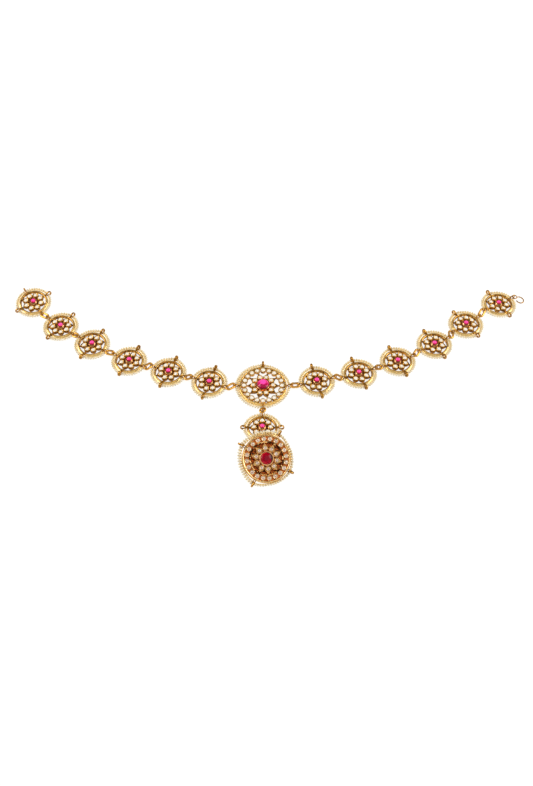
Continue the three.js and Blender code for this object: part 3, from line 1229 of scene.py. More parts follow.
class StoneRingTree(GrowthTree):
    """Two rings of cut stones, one in the petals and one in the collar."""

    def __init__(self) -> None:
        """Wires the tree."""
        inputs = {"Seed": "Int", "Material": "Material"}
        for ring in ("Petal", "Collar"):
            inputs |= {
                f"{ring} stone": "Object", f"{ring} stones": "Int",
                f"{ring} reach": "Float", f"{ring} seat": "Float",
            }
        super().__init__("rings_of_stones", inputs)
        seed = self.number("Seed")
        self.close(self.joined(self._ring("Petal", seed), self._ring("Collar", seed + 7)))

    def _ring(self, ring: str, seed: Value) -> Any:
        """One ring of stones, each turned its own way.

        Args:
            ring: Petal or Collar.
            seed: The ring's own seed.

        Returns:
            The stones, as copies.
        """
        seat = self.vector(0.0, 0.0, self.number(f"{ring} seat"))
        stone = self.through("GeometryNodeTransform", self.shape_of(f"{ring} stone"), Translation=seat)
        count, reach = self.number(f"{ring} stones"), self.number(f"{ring} reach")
        spin = self.vector(0.0, 0.0, self.chance(0.0, TAU, seed, Choice.SPIN))
        copies = self.ring_of(stone, count, reach, seed, 0.06)
        return self.through("GeometryNodeRotateInstances", copies, Rotation=spin)


class StringTree(GrowthTree):
    """Seed pearls threaded along paths, and the silk that they hang on."""

    def __init__(self) -> None:
        """Wires the tree."""
        super().__init__(
            "strings_of_pearls",
            {
                "Pearl radius": "Float", "Pearl spacing": "Float", "Silk radius": "Float",
                "Couching radius": "Float", "Seed": "Int", "Pearl": "Material", "Silk": "Material",
            },
        )
        paths = self.through("GeometryNodeMeshToCurve", self.given_socket("Geometry"))
        strings, threads = self._apart(paths, "silk")
        silk, couching = self._apart(threads, "couching")
        # How far each point lies towards the rim, which places the pearls' painted gold reflection.
        inward = (self.named("reach") - self.from_axis()) / self.number("Pearl radius")
        whole = self.joined(
            self._pearls(strings),
            self.tube(silk, self.number("Silk radius"), 5),
            self.tube(couching, self.number("Couching radius"), 6),
        )
        dress = {"Pearl": True, "Silk": self.named("silk")}
        self.close(whole, {"inner": inward * 0.5 + 0.5}, dress)

    def _apart(self, paths: Any, name: str) -> tuple[Any, Any]:
        """Parts paths by a mark.

        Args:
            paths: The curves.
            name: The mark's name.

        Returns:
            The curves without the mark, and those with it.
        """
        inputs = {"Geometry": paths, "Selection": self.named(name)}
        node = self.add("GeometryNodeSeparateGeometry", {"domain": "CURVE"}, inputs)
        return node.outputs["Inverted"], node.outputs["Selection"]

    def _pearls(self, strings: Any) -> Any:
        """Threads pearls along the strings, each of its own size, squashed a little.

        Args:
            strings: The strings' curves.

        Returns:
            The pearls, as copies that know how far from the axis they hang.
        """
        seed = self.number("Seed")
        spacing = self.number("Pearl spacing")
        beads = self.through("GeometryNodeResampleCurve", strings, {"mode": "LENGTH"}, Length=spacing)
        ball_size = {"Segments": 10, "Rings": 7, "Radius": self.number("Pearl radius")}
        ball = self.add("GeometryNodeMeshUVSphere", None, ball_size).outputs[0]
        x, y, _ = self.position()
        across = self.named("breadth") * self.chance(0.92, 1.0, seed, Choice.BREADTH)
        along = self.chance(0.92, 1.0, seed, Choice.LENGTH)
        high = self.chance(0.9, 1.0, seed, Choice.HEIGHT)
        strung = self.through(
            "GeometryNodeInstanceOnPoints",
            self.store(beads, "reach", self.from_axis()),
            Instance=self.through("GeometryNodeSetShadeSmooth", ball),
            Rotation=self.vector(self.chance(0.0, TAU, seed, Choice.ROLL), 0.0, y.turn_to(x)),
            Scale=self.vector(across, along, high),
        )
        return self.toned(strung, seed)


class WireTree(GrowthTree):
    """Round wire along paths."""

    def __init__(self) -> None:
        """Wires the tree."""
        super().__init__(
            "drawn_wire",
            {"Wire radius": "Float", "Sides": "Int", "Outward": "Float", "Material": "Material"},
        )
        path = self.through("GeometryNodeMeshToCurve", self.given_socket("Geometry"))
        wire = self.tube(path, self.number("Wire radius"), self.number("Sides"))
        self.close(wire, {"relief": 1.0, "outward": self.number("Outward")})


# ---------------------------------------------------------------- sizes, in millimetres


@dataclass(frozen=True)
class Rim:
    """The upright wall round a medallion."""

    radius: float
    wall: float
    height: float
    roll: float
    roll_low: float = 0.5
    roll_high: float = 1.3


@dataclass(frozen=True)
class PetalRing:
    """Petals with ogee points, each with a round collet and a stone."""

    count: int
    reach: float
    lobe: float
    point: float
    collet: float
    stone: float
    bottom: float = 0.6
    top: float = 2.05
    seat: float = 2.3


@dataclass(frozen=True)
class Collar:
    """The ring of collets inside a large medallion's rim."""

    count: int
    reach: float
    collet: float
    stone: float
    bottom: float = 0.6
    seat: float = 2.2
    backing: bool = False


NO_COLLAR = Collar(count=0, reach=0.0, collet=1.0, stone=0.8)


@dataclass(frozen=True)
class Ruby:
    """The middle stone and its fluted setting."""

    radius: float
    seat: float
    height: float
    foot: float
    lip: float
    flutes: int
    sides: int
    facets: int = 8


@dataclass(frozen=True)
class Eyelets:
    """The coiled eyelets, with the reach of each by its side."""

    reach: Quad
    width: Quad
    outer: float
    hole: float
    height: float


@dataclass(frozen=True)
class Strings:
    """The pearl strings, with the bow and breadth of each by the eyelet that it starts from."""

    bow: Quad
    breadth: Quad
    behind_eyelet: float
    height: float
    pearl: float = 0.7
    spacing: float = 1.41
    first_pearl: float = 1.4
    silk: float = 0.12
    silk_drop: float = 0.55
    couching: float = 0.24
    couching_drop: float = 0.1


@dataclass(frozen=True)
class Bowl:
    """The closed back of the pendant, with its hidden bail."""

    depth: float
    bail_slope: float
    bail_stand_off: float
    bail_outer: float
    bail_hole: float
    lac: float = -0.9
    burnished: float = 0.02


@dataclass(frozen=True)
class MedallionSizes:
    """Everything that one kind of medallion is made of."""

    rim: Rim
    petals: PetalRing
    ruby: Ruby
    eyelets: Eyelets
    strings: Strings
    collar: Collar | None = None
    bowl: Bowl | None = None


SIDE_SIZES = MedallionSizes(
    rim=Rim(radius=8.0, wall=0.7, height=1.9, roll=0.85),
    petals=PetalRing(count=8, reach=4.7, lobe=1.88, point=2.85, collet=1.6, stone=1.25),
    ruby=Ruby(radius=1.5, seat=2.6, height=1.1, foot=2.5, lip=1.95, flutes=8, sides=8),
    eyelets=Eyelets(
        reach=(10.35, 10.75, 10.35, 10.75), width=(0.9, 1.5, 0.9, 1.5), outer=1.75, hole=1.15, height=1.75
    ),
    strings=Strings(
        bow=(9.97, 9.97, 9.97, 9.97), breadth=(1.32, 1.32, 1.32, 1.32), behind_eyelet=0.45, height=1.15
    ),
)
DROP_SIZES = replace(
    SIDE_SIZES,
    eyelets=replace(SIDE_SIZES.eyelets, reach=(10.75, 10.35, 10.75, 10.35), width=(1.5, 0.9, 1.5, 0.9)),
)
CENTRE_SIZES = MedallionSizes(
    rim=Rim(radius=13.3, wall=0.75, height=2.2, roll=0.6),
    petals=PetalRing(count=10, reach=5.76, lobe=1.8, point=3.6, collet=1.55, stone=1.2, top=2.3, seat=2.55),
    collar=Collar(count=20, reach=11.0, collet=1.72, stone=1.3),
    ruby=Ruby(radius=3.5, seat=2.9, height=1.9, foot=4.3, lip=3.95, flutes=20, sides=12, facets=10),
    eyelets=Eyelets(
        reach=(15.8, 15.8, 15.8, 15.8), width=(1.0, 1.6, 1.0, 1.0), outer=1.75, hole=1.15, height=1.75
    ),
    strings=Strings(
        bow=(14.75, 15.22, 15.12, 14.75), breadth=(1.1, 1.75, 1.6, 1.1), behind_eyelet=0.55, height=1.2
    ),
)
PENDANT_SIZES = replace(
    CENTRE_SIZES,
    rim=Rim(radius=13.0, wall=0.75, height=2.2, roll=0.4),
    petals=PetalRing(count=10, reach=5.76, lobe=1.72, point=3.35, collet=1.4, stone=0.95, top=2.3, seat=2.55),
    collar=Collar(count=20, reach=10.85, collet=1.42, stone=1.02, backing=True),
    eyelets=replace(CENTRE_SIZES.eyelets, reach=(15.8, 16.0, 16.0, 15.3), width=(1.6, 1.6, 1.6, 1.6)),
    strings=Strings(
        bow=(14.72, 14.72, 14.25, 14.3), breadth=(1.75, 1.75, 1.05, 1.15), behind_eyelet=0.55, height=0.75
    ),
    bowl=Bowl(depth=5.5, bail_slope=12.0, bail_stand_off=2.6, bail_outer=1.6, bail_hole=1.15),
)


# ---------------------------------------------------------------- parts that are repeated


def petal_outline(sizes: PetalRing) -> list[Vector]:
    """The outline of a petal: a lobe that runs out to an ogee point.

    Args:
        sizes: The petals' sizes.

    Returns:
        The corners, counterclockwise from the lobe's end on the +Y side.
    """
    lobe_end, lobe_steps, flank_steps = math.radians(48), 11, 4
    corner = Vector((math.cos(lobe_end), math.sin(lobe_end))) * sizes.lobe
    leave = corner + Vector((math.sin(lobe_end), -math.cos(lobe_end))) * sizes.lobe * 0.42
    arrive = Vector((sizes.point - sizes.lobe * 0.5, sizes.lobe * 0.03))
    tip = Vector((sizes.point, 0.0))
    flank = []
    for step in range(1, flank_steps + 1):
        share = step / flank_steps
        rest = 1 - share
        near, far = corner * rest**3 + leave * 3 * rest**2 * share, arrive * 3 * rest + tip * share
        flank.append(near + far * share**2)
    turns = [lobe_end + (TAU - 2 * lobe_end) * step / lobe_steps for step in range(lobe_steps + 1)]
    lobe = [Vector((math.cos(turn), math.sin(turn))) * sizes.lobe for turn in turns]
    below = [Vector((point.x, -point.y)) for point in flank[:-1]]
    return lobe + below + flank[::-1]


def inset(outline: Sequence[Vector], amount: float) -> list[Vector]:
    """An outline drawn in.

    Args:
        outline: Its corners, counterclockwise.
        amount: How far each corner moves.

    Returns:
        The new corners.
    """
    drawn = []
    for number, point in enumerate(outline):
        chord = outline[(number + 1) % len(outline)] - outline[number - 1]
        drawn.append(point + Vector((-chord.y, chord.x)).normalized() * amount)
    return drawn


def petal_shape(sizes: PetalRing) -> bpy.types.Mesh:
    """One petal plate with a raised edge, round behind and pointed ahead.

    Args:
        sizes: The petals' sizes.

    Returns:
        The petal, its lobe's middle on the axis and its point along +X.
    """
    outline = petal_outline(sizes)
    layers = [
        (0.06, sizes.bottom), (0.0, sizes.bottom + 0.1), (0.0, sizes.top - 0.12),
        (0.1, sizes.top), (0.24, sizes.top - 0.02), (0.32, sizes.top - 0.25),
    ]
    points = [(point.x, point.y, height) for drawn, height in layers for point in inset(outline, drawn)]
    count, top = len(outline), len(outline) * (len(layers) - 1)
    faces = [list(range(count))[::-1], [top + step for step in range(count)]]
    for low in range(0, top, count):
        for step in range(count):
            after = (step + 1) % count
            faces.append([low + step, low + after, low + count + after, low + count + step])
    return mesh_of("petal", points, faces)


def collet_shape(outer: float, stone: float, bottom: float, seat: float) -> bpy.types.Mesh:
    """A closed cup whose rolled lip holds a stone.

    Args:
        outer: The cup's radius.
        stone: The stone's radius.
        bottom: The cup's underside.
        seat: The height of the stone's foot.

    Returns:
        The cup.
    """
    lip, inner, floor = seat + 0.24, stone - 0.06, seat - 0.05
    profile = [
        (0.0, bottom), (outer * 0.93, bottom), (outer, bottom + 0.3), (outer, lip - 0.22),
        (outer - 0.1, lip - 0.04), ((outer + inner) / 2, lip), (inner, lip - 0.08),
        (inner, floor), (0.0, floor),
    ]
    return turned("collet", profile, COLLET_STEPS)


def flat_diamond(radius: float, seed: int) -> bpy.types.Mesh:
    """A flat-cut stone with a broad table and narrow facets.

    Args:
        radius: The stone's radius.
        seed: Chooses how the cutter's hand strayed.

    Returns:
        The stone.
    """
    girdle = [(8, radius * 0.97, -0.04, 0.0), (8, radius, 0.06, 0.0)]
    crown = [(8, radius * 0.66, 0.23, TAU / 16), (1, 0.001, 0.27, 0.0)]
    return cut_stone("flat_diamond", girdle + crown, seed)


# ---------------------------------------------------------------- sub-assemblies


@dataclass(frozen=True)
class Eyelet:
    """An eyelet as a link sees it, in millimetres in the headpiece's frame."""

    middle: Vector
    ahead: Vector


class Workshop:
    """What every sub-assembly needs: the finishes, the trees and the shapes that repeat."""

    def __init__(self) -> None:
        """Sets up the finishes and the trees."""
        self.finishes = Finishes()
        self.goldwork = GoldworkTree()
        self.stones = StoneRingTree()
        self.strings = StringTree()
        self.wire = WireTree()

    def pattern(self, name: str, mesh: bpy.types.Mesh) -> bpy.types.Object:
        """Puts a shape where a tree can take copies of it.

        Args:
            name: The shape's name.
            mesh: The shape.

        Returns:
            An object that holds it until it is discarded.
        """
        holder = bpy.data.objects.new(name, mesh)
        bpy.context.scene.collection.objects.link(holder)
        return holder

    def discard(self, *holders: bpy.types.Object) -> None:
        """Removes shapes that have been copied."""
        for holder in holders:
            bpy.data.objects.remove(holder)

    def bent_wire(self, name: str, path: Sequence[Vector], sizes: Sockets) -> bpy.types.Mesh:
        """Bends a round wire.

        Args:
            name: The mesh's name.
            path: The wire's middle line.
            sizes: Its Wire radius, Sides and Outward; an Outward of 1, as on the hook, gives it the darker
                painted shade of the eyelets.

        Returns:
            The wire.
        """
        given = sizes | {"Material": self.finishes.wire}
        mesh = self.wire.grow(name, chains(f"{name}_path", [(path, False)]), given)
        smoothed(mesh, WIRE_CREASE)
        return mesh

    def deliver(
        self, name: str, mesh: bpy.types.Mesh, place: Matrix, node: str
    ) -> bpy.types.Object:
        """Turns a finished mesh into a piece of the headpiece.

        Args:
            name: The piece's name.
            mesh: Its mesh, in millimetres in its own frame.
            place: Where its frame lies, in millimetres.
            node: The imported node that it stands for.

        Returns:
            The piece.
        """
        mesh.transform(Matrix.Scale(MM, 4) @ place)
        mesh.name = name
        piece = bpy.data.objects.new(name, mesh)
        bpy.context.scene.collection.objects.link(piece)
        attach(piece, "root")
        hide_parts(node)
        triangles = sum(len(face.vertices) - 2 for face in mesh.polygons)
        LOG.info("%s: %d triangles, stands for %s", name, triangles, node)
        return piece


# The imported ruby's section, as shares of its radius and height, from which its place is found.
PACKED_RUBY = ((0.85, 0.0), (1.0, 0.35), (0.6, 0.88), (0.0, 1.0), (0.0, 0.0))

# The way to the darker side of a ruby, in degrees from the headpiece's +X.
RUBY_SHADE, PENDANT_RUBY_SHADE = -100.0, 20.0


@dataclass
class Medallion:
    """One openwork medallion: goldwork, diamonds, ruby and pearl strings."""

    name: str
    sizes: MedallionSizes
    heading: float
    pitch: float
    roll: float = 0.0
    dusky: bool = False
    seed: int = 1

    def __post_init__(self) -> None:
        """Finds the medallion's place from its packed ruby."""
        turn = (
            Matrix.Rotation(math.radians(self.pitch), 4, "X")
            @ Matrix.Rotation(math.radians(self.roll), 4, "Y")
            @ Matrix.Rotation(math.radians(self.heading), 4, "Z")
        )
        ruby = self.sizes.ruby
        corners = []
        for share, height in PACKED_RUBY:
            for step in range(ruby.sides):
                angle = TAU * step / ruby.sides
                reach, level = ruby.radius * share, ruby.seat + ruby.height * height
                corners.append(turn @ Vector((reach * math.sin(angle), -reach * math.cos(angle), level)))
        low = Vector(min(corner[axis] for corner in corners) for axis in range(3))
        packed_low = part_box(f"ruby_{self.name}")[0] / MM
        self.place = Matrix.Translation(packed_low - low) @ turn

    def eyelet(self, side: Side) -> Eyelet:
        """The eyelet on one side, as a link sees it.

        Args:
            side: The side.

        Returns:
            The eyelet.
        """
        sizes = self.sizes.eyelets
        angle = QUARTER * side.value
        out = Vector((math.cos(angle), math.sin(angle), 0.0))
        middle = out * sizes.reach[side.value] + UP * sizes.height
        return Eyelet(self.place @ middle, (self.place.to_3x3() @ out).normalized())

    def bail(self, target: Vector) -> Eyelet:
        """The bail on the bowl, seen as an eyelet that points at a target.

        Args:
            target: Where the link comes from.

        Returns:
            The bail.
        """
        reach, middle = self._bowl_reach()
        slope = math.radians(self.sizes.bowl.bail_slope)
        away = math.radians(90 - self.heading)
        flat = reach * math.sin(slope)
        spot = Vector((flat * math.cos(away), flat * math.sin(away), middle - reach * math.cos(slope)))
        placed = self.place @ spot
        ahead = target - placed
        ahead.x = 0.0
        return Eyelet(placed, ahead.normalized())

    def _bowl_reach(self) -> tuple[float, float]:
        """Where the bowl's curve and its bail are.

        Returns:
            How far the bail is from the curve's centre, and that centre's height.
        """
        bowl, rim = self.sizes.bowl, self.sizes.rim
        radius = (rim.radius**2 + bowl.depth**2) / (2 * bowl.depth)
        return radius + bowl.bail_stand_off, radius - bowl.depth

    def build(self, shop: Workshop) -> None:
        """Builds and dresses all the medallion's pieces.

        Args:
            shop: The finishes and trees.
        """
        self._build_goldwork(shop)
        self._build_diamonds(shop)
        self._build_ruby(shop)
        self._build_pearls(shop)

    def _build_goldwork(self, shop: Workshop) -> None:
        """Turns the rim and setting, and grows petals, collets and eyelets round them.

        Args:
            shop: The finishes and trees.
        """
        rim, petals, eyelets = self.sizes.rim, self.sizes.petals, self.sizes.eyelets
        outer = self.sizes.collar or NO_COLLAR
        wire, narrow = (eyelets.outer - eyelets.hole) / 2, min(eyelets.width)
        collet = collet_shape(petals.collet, petals.stone, petals.bottom + 0.3, petals.seat)
        collar_collet = collet_shape(outer.collet, outer.stone, outer.bottom, outer.seat)
        patterns = {
            "Petal": shop.pattern("petal", petal_shape(petals)),
            "Collet": shop.pattern("collet", collet),
            "Collar collet": shop.pattern("collar_collet", collar_collet),
        }
        given = patterns | {
            "Petals": petals.count, "Petal reach": petals.reach,
            "Collar collets": outer.count, "Collar reach": outer.reach,
            "Rim radius": rim.radius, "Eyelet height": eyelets.height,
            "Coil radius": eyelets.outer - wire, "Coil wire": wire, "Coil width": narrow,
            "Recess height": 0.4 if self.sizes.bowl is None else 0.0, "Crest height": petals.seat,
            "Seed": self.seed, "Wire": shop.finishes.wire, "Material": self._gold(shop.finishes),
        }
        for side in Side:
            given[side.label("Reach")] = eyelets.reach[side.value]
            given[side.label("Breadth")] = eyelets.width[side.value] / narrow
        mesh = shop.goldwork.grow("goldwork", joined("turned_parts", self._turned_parts()), given)
        smoothed(mesh, GOLD_CREASE)
        shop.discard(*patterns.values())
        shop.deliver(f"goldwork_{self.name}", mesh, self.place, f"frame_{self.name}")

    def _gold(self, finishes: Finishes) -> bpy.types.Material:
        """The gold of this kind of medallion.

        Args:
            finishes: The materials.

        Returns:
            One of them.
        """
        if self.dusky:
            return finishes.glowing_gold
        return finishes.great_gold if self.sizes.collar else finishes.gold

    def _turned_parts(self) -> list[bpy.types.Mesh]:
        """The parts that are turned about the medallion's axis.

        Returns:
            The rim or the closed back, the collar's backing where there is one, plate and setting.
        """
        collar = self.sizes.collar
        parts = [self._bowl(), self._bail_ring()] if self.sizes.bowl else [self._rim()]
        if collar and collar.backing:
            parts.append(self._backing(collar))
        return [*parts, self._middle_plate(), self._setting()]

    def _lip(self) -> list[tuple[float, float]]:
        """The section of the rolled edge and of the wall's top.

        Returns:
            Its corners, from the outside in.
        """
        rim = self.sizes.rim
        outer, inner, top, edge = rim.radius, rim.radius - rim.wall, rim.height, rim.radius + rim.roll
        low, high = rim.roll_low, rim.roll_high
        roll = [
            (outer + 0.05, low - 0.05), (outer + rim.roll * 0.55, low + 0.02), (edge - 0.1, low + 0.16),
            (edge - 0.02, (low + high) / 2), (edge - 0.1, high - 0.14), (outer + rim.roll * 0.5, high + 0.06),
            (outer + 0.12, high + 0.02), (outer + 0.02, high + 0.14),
        ]
        crest = [
            (outer - 0.02, top - 0.16), (outer - 0.16, top - 0.02),
            (inner + 0.22, top - 0.04), (inner + 0.06, top - 0.2), (inner, top - 0.5),
        ]
        return roll + crest

    def _rim(self) -> bpy.types.Mesh:
        """The wall of an open medallion, a little out of round but never beyond its size.

        Returns:
            The wall.
        """
        outer, inner = self.sizes.rim.radius, self.sizes.rim.radius - self.sizes.rim.wall
        foot = [(inner, 0.15), (inner + 0.15, 0.02), (outer - 0.1, 0.02), (outer, 0.14)]
        phase = random.Random(self.seed).uniform(0.0, TAU)

        def handmade(row: int, angle: float) -> float:
            """The share of its radius that the wall has at an angle."""
            return 1.0 - OUT_OF_ROUND * (1 + math.sin(3 * angle + phase)) / 2

        return turned("rim", foot + self._lip(), RIM_STEPS, handmade)

    def _backing(self, collar: Collar) -> bpy.types.Mesh:
        """The plate behind the pendant's collar, with a beaded ridge inside it.

        Args:
            collar: The collar's sizes.

        Returns:
            The plate and ridge.
        """
        near = collar.reach - collar.collet - 0.75
        far = self.sizes.rim.radius - self.sizes.rim.wall + 0.2
        plate = [(near - 0.3, collar.bottom), (far, collar.bottom), (far, 1.1), (near + 0.9, 1.1)]
        ridge = [
            (near + 0.86, 2.1), (near + 0.65, 2.45), (near + 0.3, 2.5), (near, 2.3),
            (near - 0.2, 1.7), (near - 0.3, 1.1),
        ]

        def beaded(row: int, angle: float) -> float:
            """Small beads along the ridge's crest."""
            on_crest = len(plate) <= row < len(plate) + 4
            return 1.0 + (BEAD_DEPTH * math.sin(BEADS * angle) if on_crest else 0.0)

        return turned("collar_backing", plate + ridge, BACKING_STEPS, beaded)

    def _middle_plate(self) -> bpy.types.Mesh:
        """The flat plate that the petals grow from.

        Returns:
            The plate.
        """
        petals = self.sizes.petals
        edge, low, high = petals.reach - petals.lobe + 0.5, petals.bottom, petals.bottom + 0.7
        profile = [
            (0.0, low), (edge - 0.1, low), (edge, low + 0.1),
            (edge, high - 0.1), (edge - 0.1, high), (0.0, high),
        ]
        return turned("middle_plate", profile, PLATE_STEPS)

    def _setting(self) -> bpy.types.Mesh:
        """The ruby's setting, fluted outside and smooth within its lip.

        Returns:
            The setting.
        """
        petals, ruby = self.sizes.petals, self.sizes.ruby
        foot, top, floor = petals.bottom + 0.2, ruby.seat + 0.4, ruby.seat - 0.1
        inner = ruby.radius * 0.93 + 0.1
        wall = [
            (0.0, foot), (ruby.foot, foot), (ruby.foot, petals.top - 0.6),
            (ruby.foot - 0.1, petals.top - 0.1), (ruby.lip, ruby.seat - 0.2),
        ]
        lip = [
            (ruby.lip - 0.02, top - 0.12), (ruby.lip - 0.14, top), (inner + 0.08, top - 0.02),
            (inner, top - 0.2), (inner, floor), (0.0, floor),
        ]

        def fluted(row: int, angle: float) -> float:
            """Flutes on the outer wall only."""
            on_wall = 1 <= row < len(wall)
            return 1.0 - (FLUTE_DEPTH * (0.5 - 0.5 * math.cos(ruby.flutes * angle)) if on_wall else 0.0)

        return turned("setting", wall + lip, SETTING_STEPS, fluted)

    def _bowl(self) -> bpy.types.Mesh:
        """The pendant's closed back with the lac that fills it.

        Returns:
            The back, from its pole round the rim's lip to the lac's middle.
        """
        rim, bowl = self.sizes.rim, self.sizes.bowl
        reach, middle = self._bowl_reach()
        radius = reach - bowl.bail_stand_off - bowl.burnished
        slopes = [math.asin(rim.radius / radius) * step / 9 for step in range(10)]
        back = [(radius * math.sin(slope), middle - radius * math.cos(slope)) for slope in slopes]
        inside = rim.radius - rim.wall
        filling = [(inside, 0.2), (inside * 0.8, bowl.lac * 0.6), (inside * 0.4, bowl.lac), (0.0, bowl.lac)]
        return turned("bowl", [*back, *self._lip(), *filling], RIM_STEPS)

    def _bail_ring(self) -> bpy.types.Mesh:
        """The plain ring on the bowl's back, and its stem.

        Returns:
            Both, in the medallion's own frame.
        """
        bowl = self.sizes.bowl
        reach, middle = self._bowl_reach()
        wire = (bowl.bail_outer - bowl.bail_hole) / 2
        centre = (bowl.bail_outer + bowl.bail_hole) / 2
        angles = [TAU * step / 8 for step in range(8)]
        profile = [(centre + wire * math.cos(angle), wire * math.sin(angle)) for angle in angles]
        ring = turned("bail", profile, BAIL_STEPS)
        ring.transform(Matrix.Translation((0, 0, -reach)) @ Matrix.Rotation(QUARTER, 4, "X"))
        length = bowl.bail_stand_off - centre + 0.3
        stem = turned("bail_stem", [(0.0, -0.1), (0.45, -0.1), (0.3, length), (0.0, length)], BAIL_STEPS // 2)
        stem.transform(Matrix.Translation((0, 0, centre - reach)))
        both = joined("bail_and_stem", [ring, stem])
        both.transform(
            Matrix.Rotation(math.radians(90 - self.heading), 4, "Z")
            @ Matrix.Translation((0, 0, middle))
            @ Matrix.Rotation(-math.radians(bowl.bail_slope), 4, "Y")
        )
        return both

    def _build_diamonds(self, shop: Workshop) -> None:
        """Sets the flat diamonds.

        Args:
            shop: The finishes and trees.
        """
        petals, collar, finishes = self.sizes.petals, self.sizes.collar or NO_COLLAR, shop.finishes
        petal_stone = shop.pattern("petal_stone", flat_diamond(petals.stone, self.seed * 3 + 1))
        collar_stone = shop.pattern("collar_stone", flat_diamond(collar.stone, self.seed * 3 + 2))
        given = {
            "Petal stone": petal_stone, "Petal stones": petals.count,
            "Petal reach": petals.reach, "Petal seat": petals.seat,
            "Collar stone": collar_stone, "Collar stones": collar.count,
            "Collar reach": collar.reach, "Collar seat": collar.seat, "Seed": self.seed + 40,
            "Material": finishes.dusky_diamond if self.dusky else finishes.diamond,
        }
        mesh = shop.stones.grow("diamonds", bpy.data.meshes.new("no_carrier"), given)
        shop.discard(petal_stone, collar_stone)
        shop.deliver(f"diamonds_{self.name}", mesh, self.place, f"frame_{self.name}")

    def _build_ruby(self, shop: Workshop) -> None:
        """Cuts the ruby.

        Args:
            shop: The finishes and trees.
        """
        ruby, finishes = self.sizes.ruby, shop.finishes
        seat, height, radius, count = ruby.seat, ruby.height, ruby.radius, ruby.facets
        rings = [
            (count, radius * 0.85, seat, 0.0),
            (count, radius, seat + height * 0.32, 0.0),
            (count, radius * 0.8, seat + height * 0.68, math.pi / count),
            (count // 2, radius * 0.48, seat + height * 0.93, 0.0),
            (1, 0.001, seat + height * 0.985, 0.0),
        ]
        dark_side = PENDANT_RUBY_SHADE if self.dusky else RUBY_SHADE
        mesh = cut_stone("ruby", rings, self.seed + 90, math.radians(dark_side - self.heading))
        bright = finishes.small_ruby if self.sizes.collar is None else finishes.pink_ruby
        mesh.materials.append(finishes.deep_ruby if self.dusky else bright)
        shop.deliver(f"ruby_stone_{self.name}", mesh, self.place, f"ruby_{self.name}")

    def _string_point(self, quarter: int, within: float, inward: float = 0.0) -> Vector:
        """A point on one string's path.

        Args:
            quarter: The eyelet that the string starts from.
            within: The angle past that eyelet.
            inward: How far the point is drawn in towards the rim.

        Returns:
            The point, in the medallion's own frame.
        """
        eyelets, strings = self.sizes.eyelets, self.sizes.strings
        nearest = eyelets.reach[(quarter + round(within / QUARTER)) % len(Side)]
        bow = strings.bow[quarter]
        reach = bow + (nearest - strings.behind_eyelet - bow) * math.cos(2 * within) ** 4 - inward
        angle = QUARTER * quarter + within
        return Vector((reach * math.cos(angle), reach * math.sin(angle), strings.height))

    def _string_run(self, quarter: int, inward: float = 0.0) -> list[Vector]:
        """The path from just past one eyelet to just before the next.

        Args:
            quarter: The eyelet that it starts from.
            inward: How far it is drawn in towards the rim.

        Returns:
            The path's points.
        """
        end, reach = self.sizes.strings.first_pearl, self.sizes.eyelets.reach
        first, last = end / reach[quarter], QUARTER - end / reach[(quarter + 1) % len(Side)]
        steps = range(STRING_STEPS + 1)
        return [
            self._string_point(quarter, first + (last - first) * step / STRING_STEPS, inward)
            for step in steps
        ]

    def _build_pearls(self, shop: Workshop) -> None:
        """Strings the pearls from eyelet to eyelet.

        Args:
            shop: The finishes and trees.
        """
        strings, finishes = self.sizes.strings, shop.finishes
        runs: list[tuple[list[Vector], bool]] = []
        silk: list[Vector] = []
        couching: list[Vector] = []
        for quarter in range(len(Side)):
            run = self._string_run(quarter)
            runs.append((run, False))
            start = self._string_point(quarter, 0.0)
            start.z = self.sizes.eyelets.height - strings.silk_drop
            silk.extend([start, *run[::3]])
            inward = strings.pearl * strings.breadth[quarter] - strings.couching * 0.4
            laid = self._string_run(quarter, inward)[::2]
            couching.extend(point - UP * strings.couching_drop for point in laid)
        marks = {
            "silk": [0.0, 0.0, 0.0, 0.0, 1.0, 1.0],
            "couching": [0.0, 0.0, 0.0, 0.0, 0.0, 1.0],
            "breadth": [*strings.breadth, 1.0, 1.0],
        }
        given = {
            "Pearl radius": strings.pearl, "Pearl spacing": strings.spacing,
            "Silk radius": strings.silk, "Couching radius": strings.couching,
            "Seed": self.seed + 60, "Pearl": finishes.pearl, "Silk": finishes.silk,
        }
        paths = chains("string_paths", [*runs, (silk, True), (couching, True)], marks)
        mesh = shop.strings.grow("pearl_strings", paths, given)
        shop.deliver(f"pearl_strings_{self.name}", mesh, self.place, f"pearls_{self.name}")


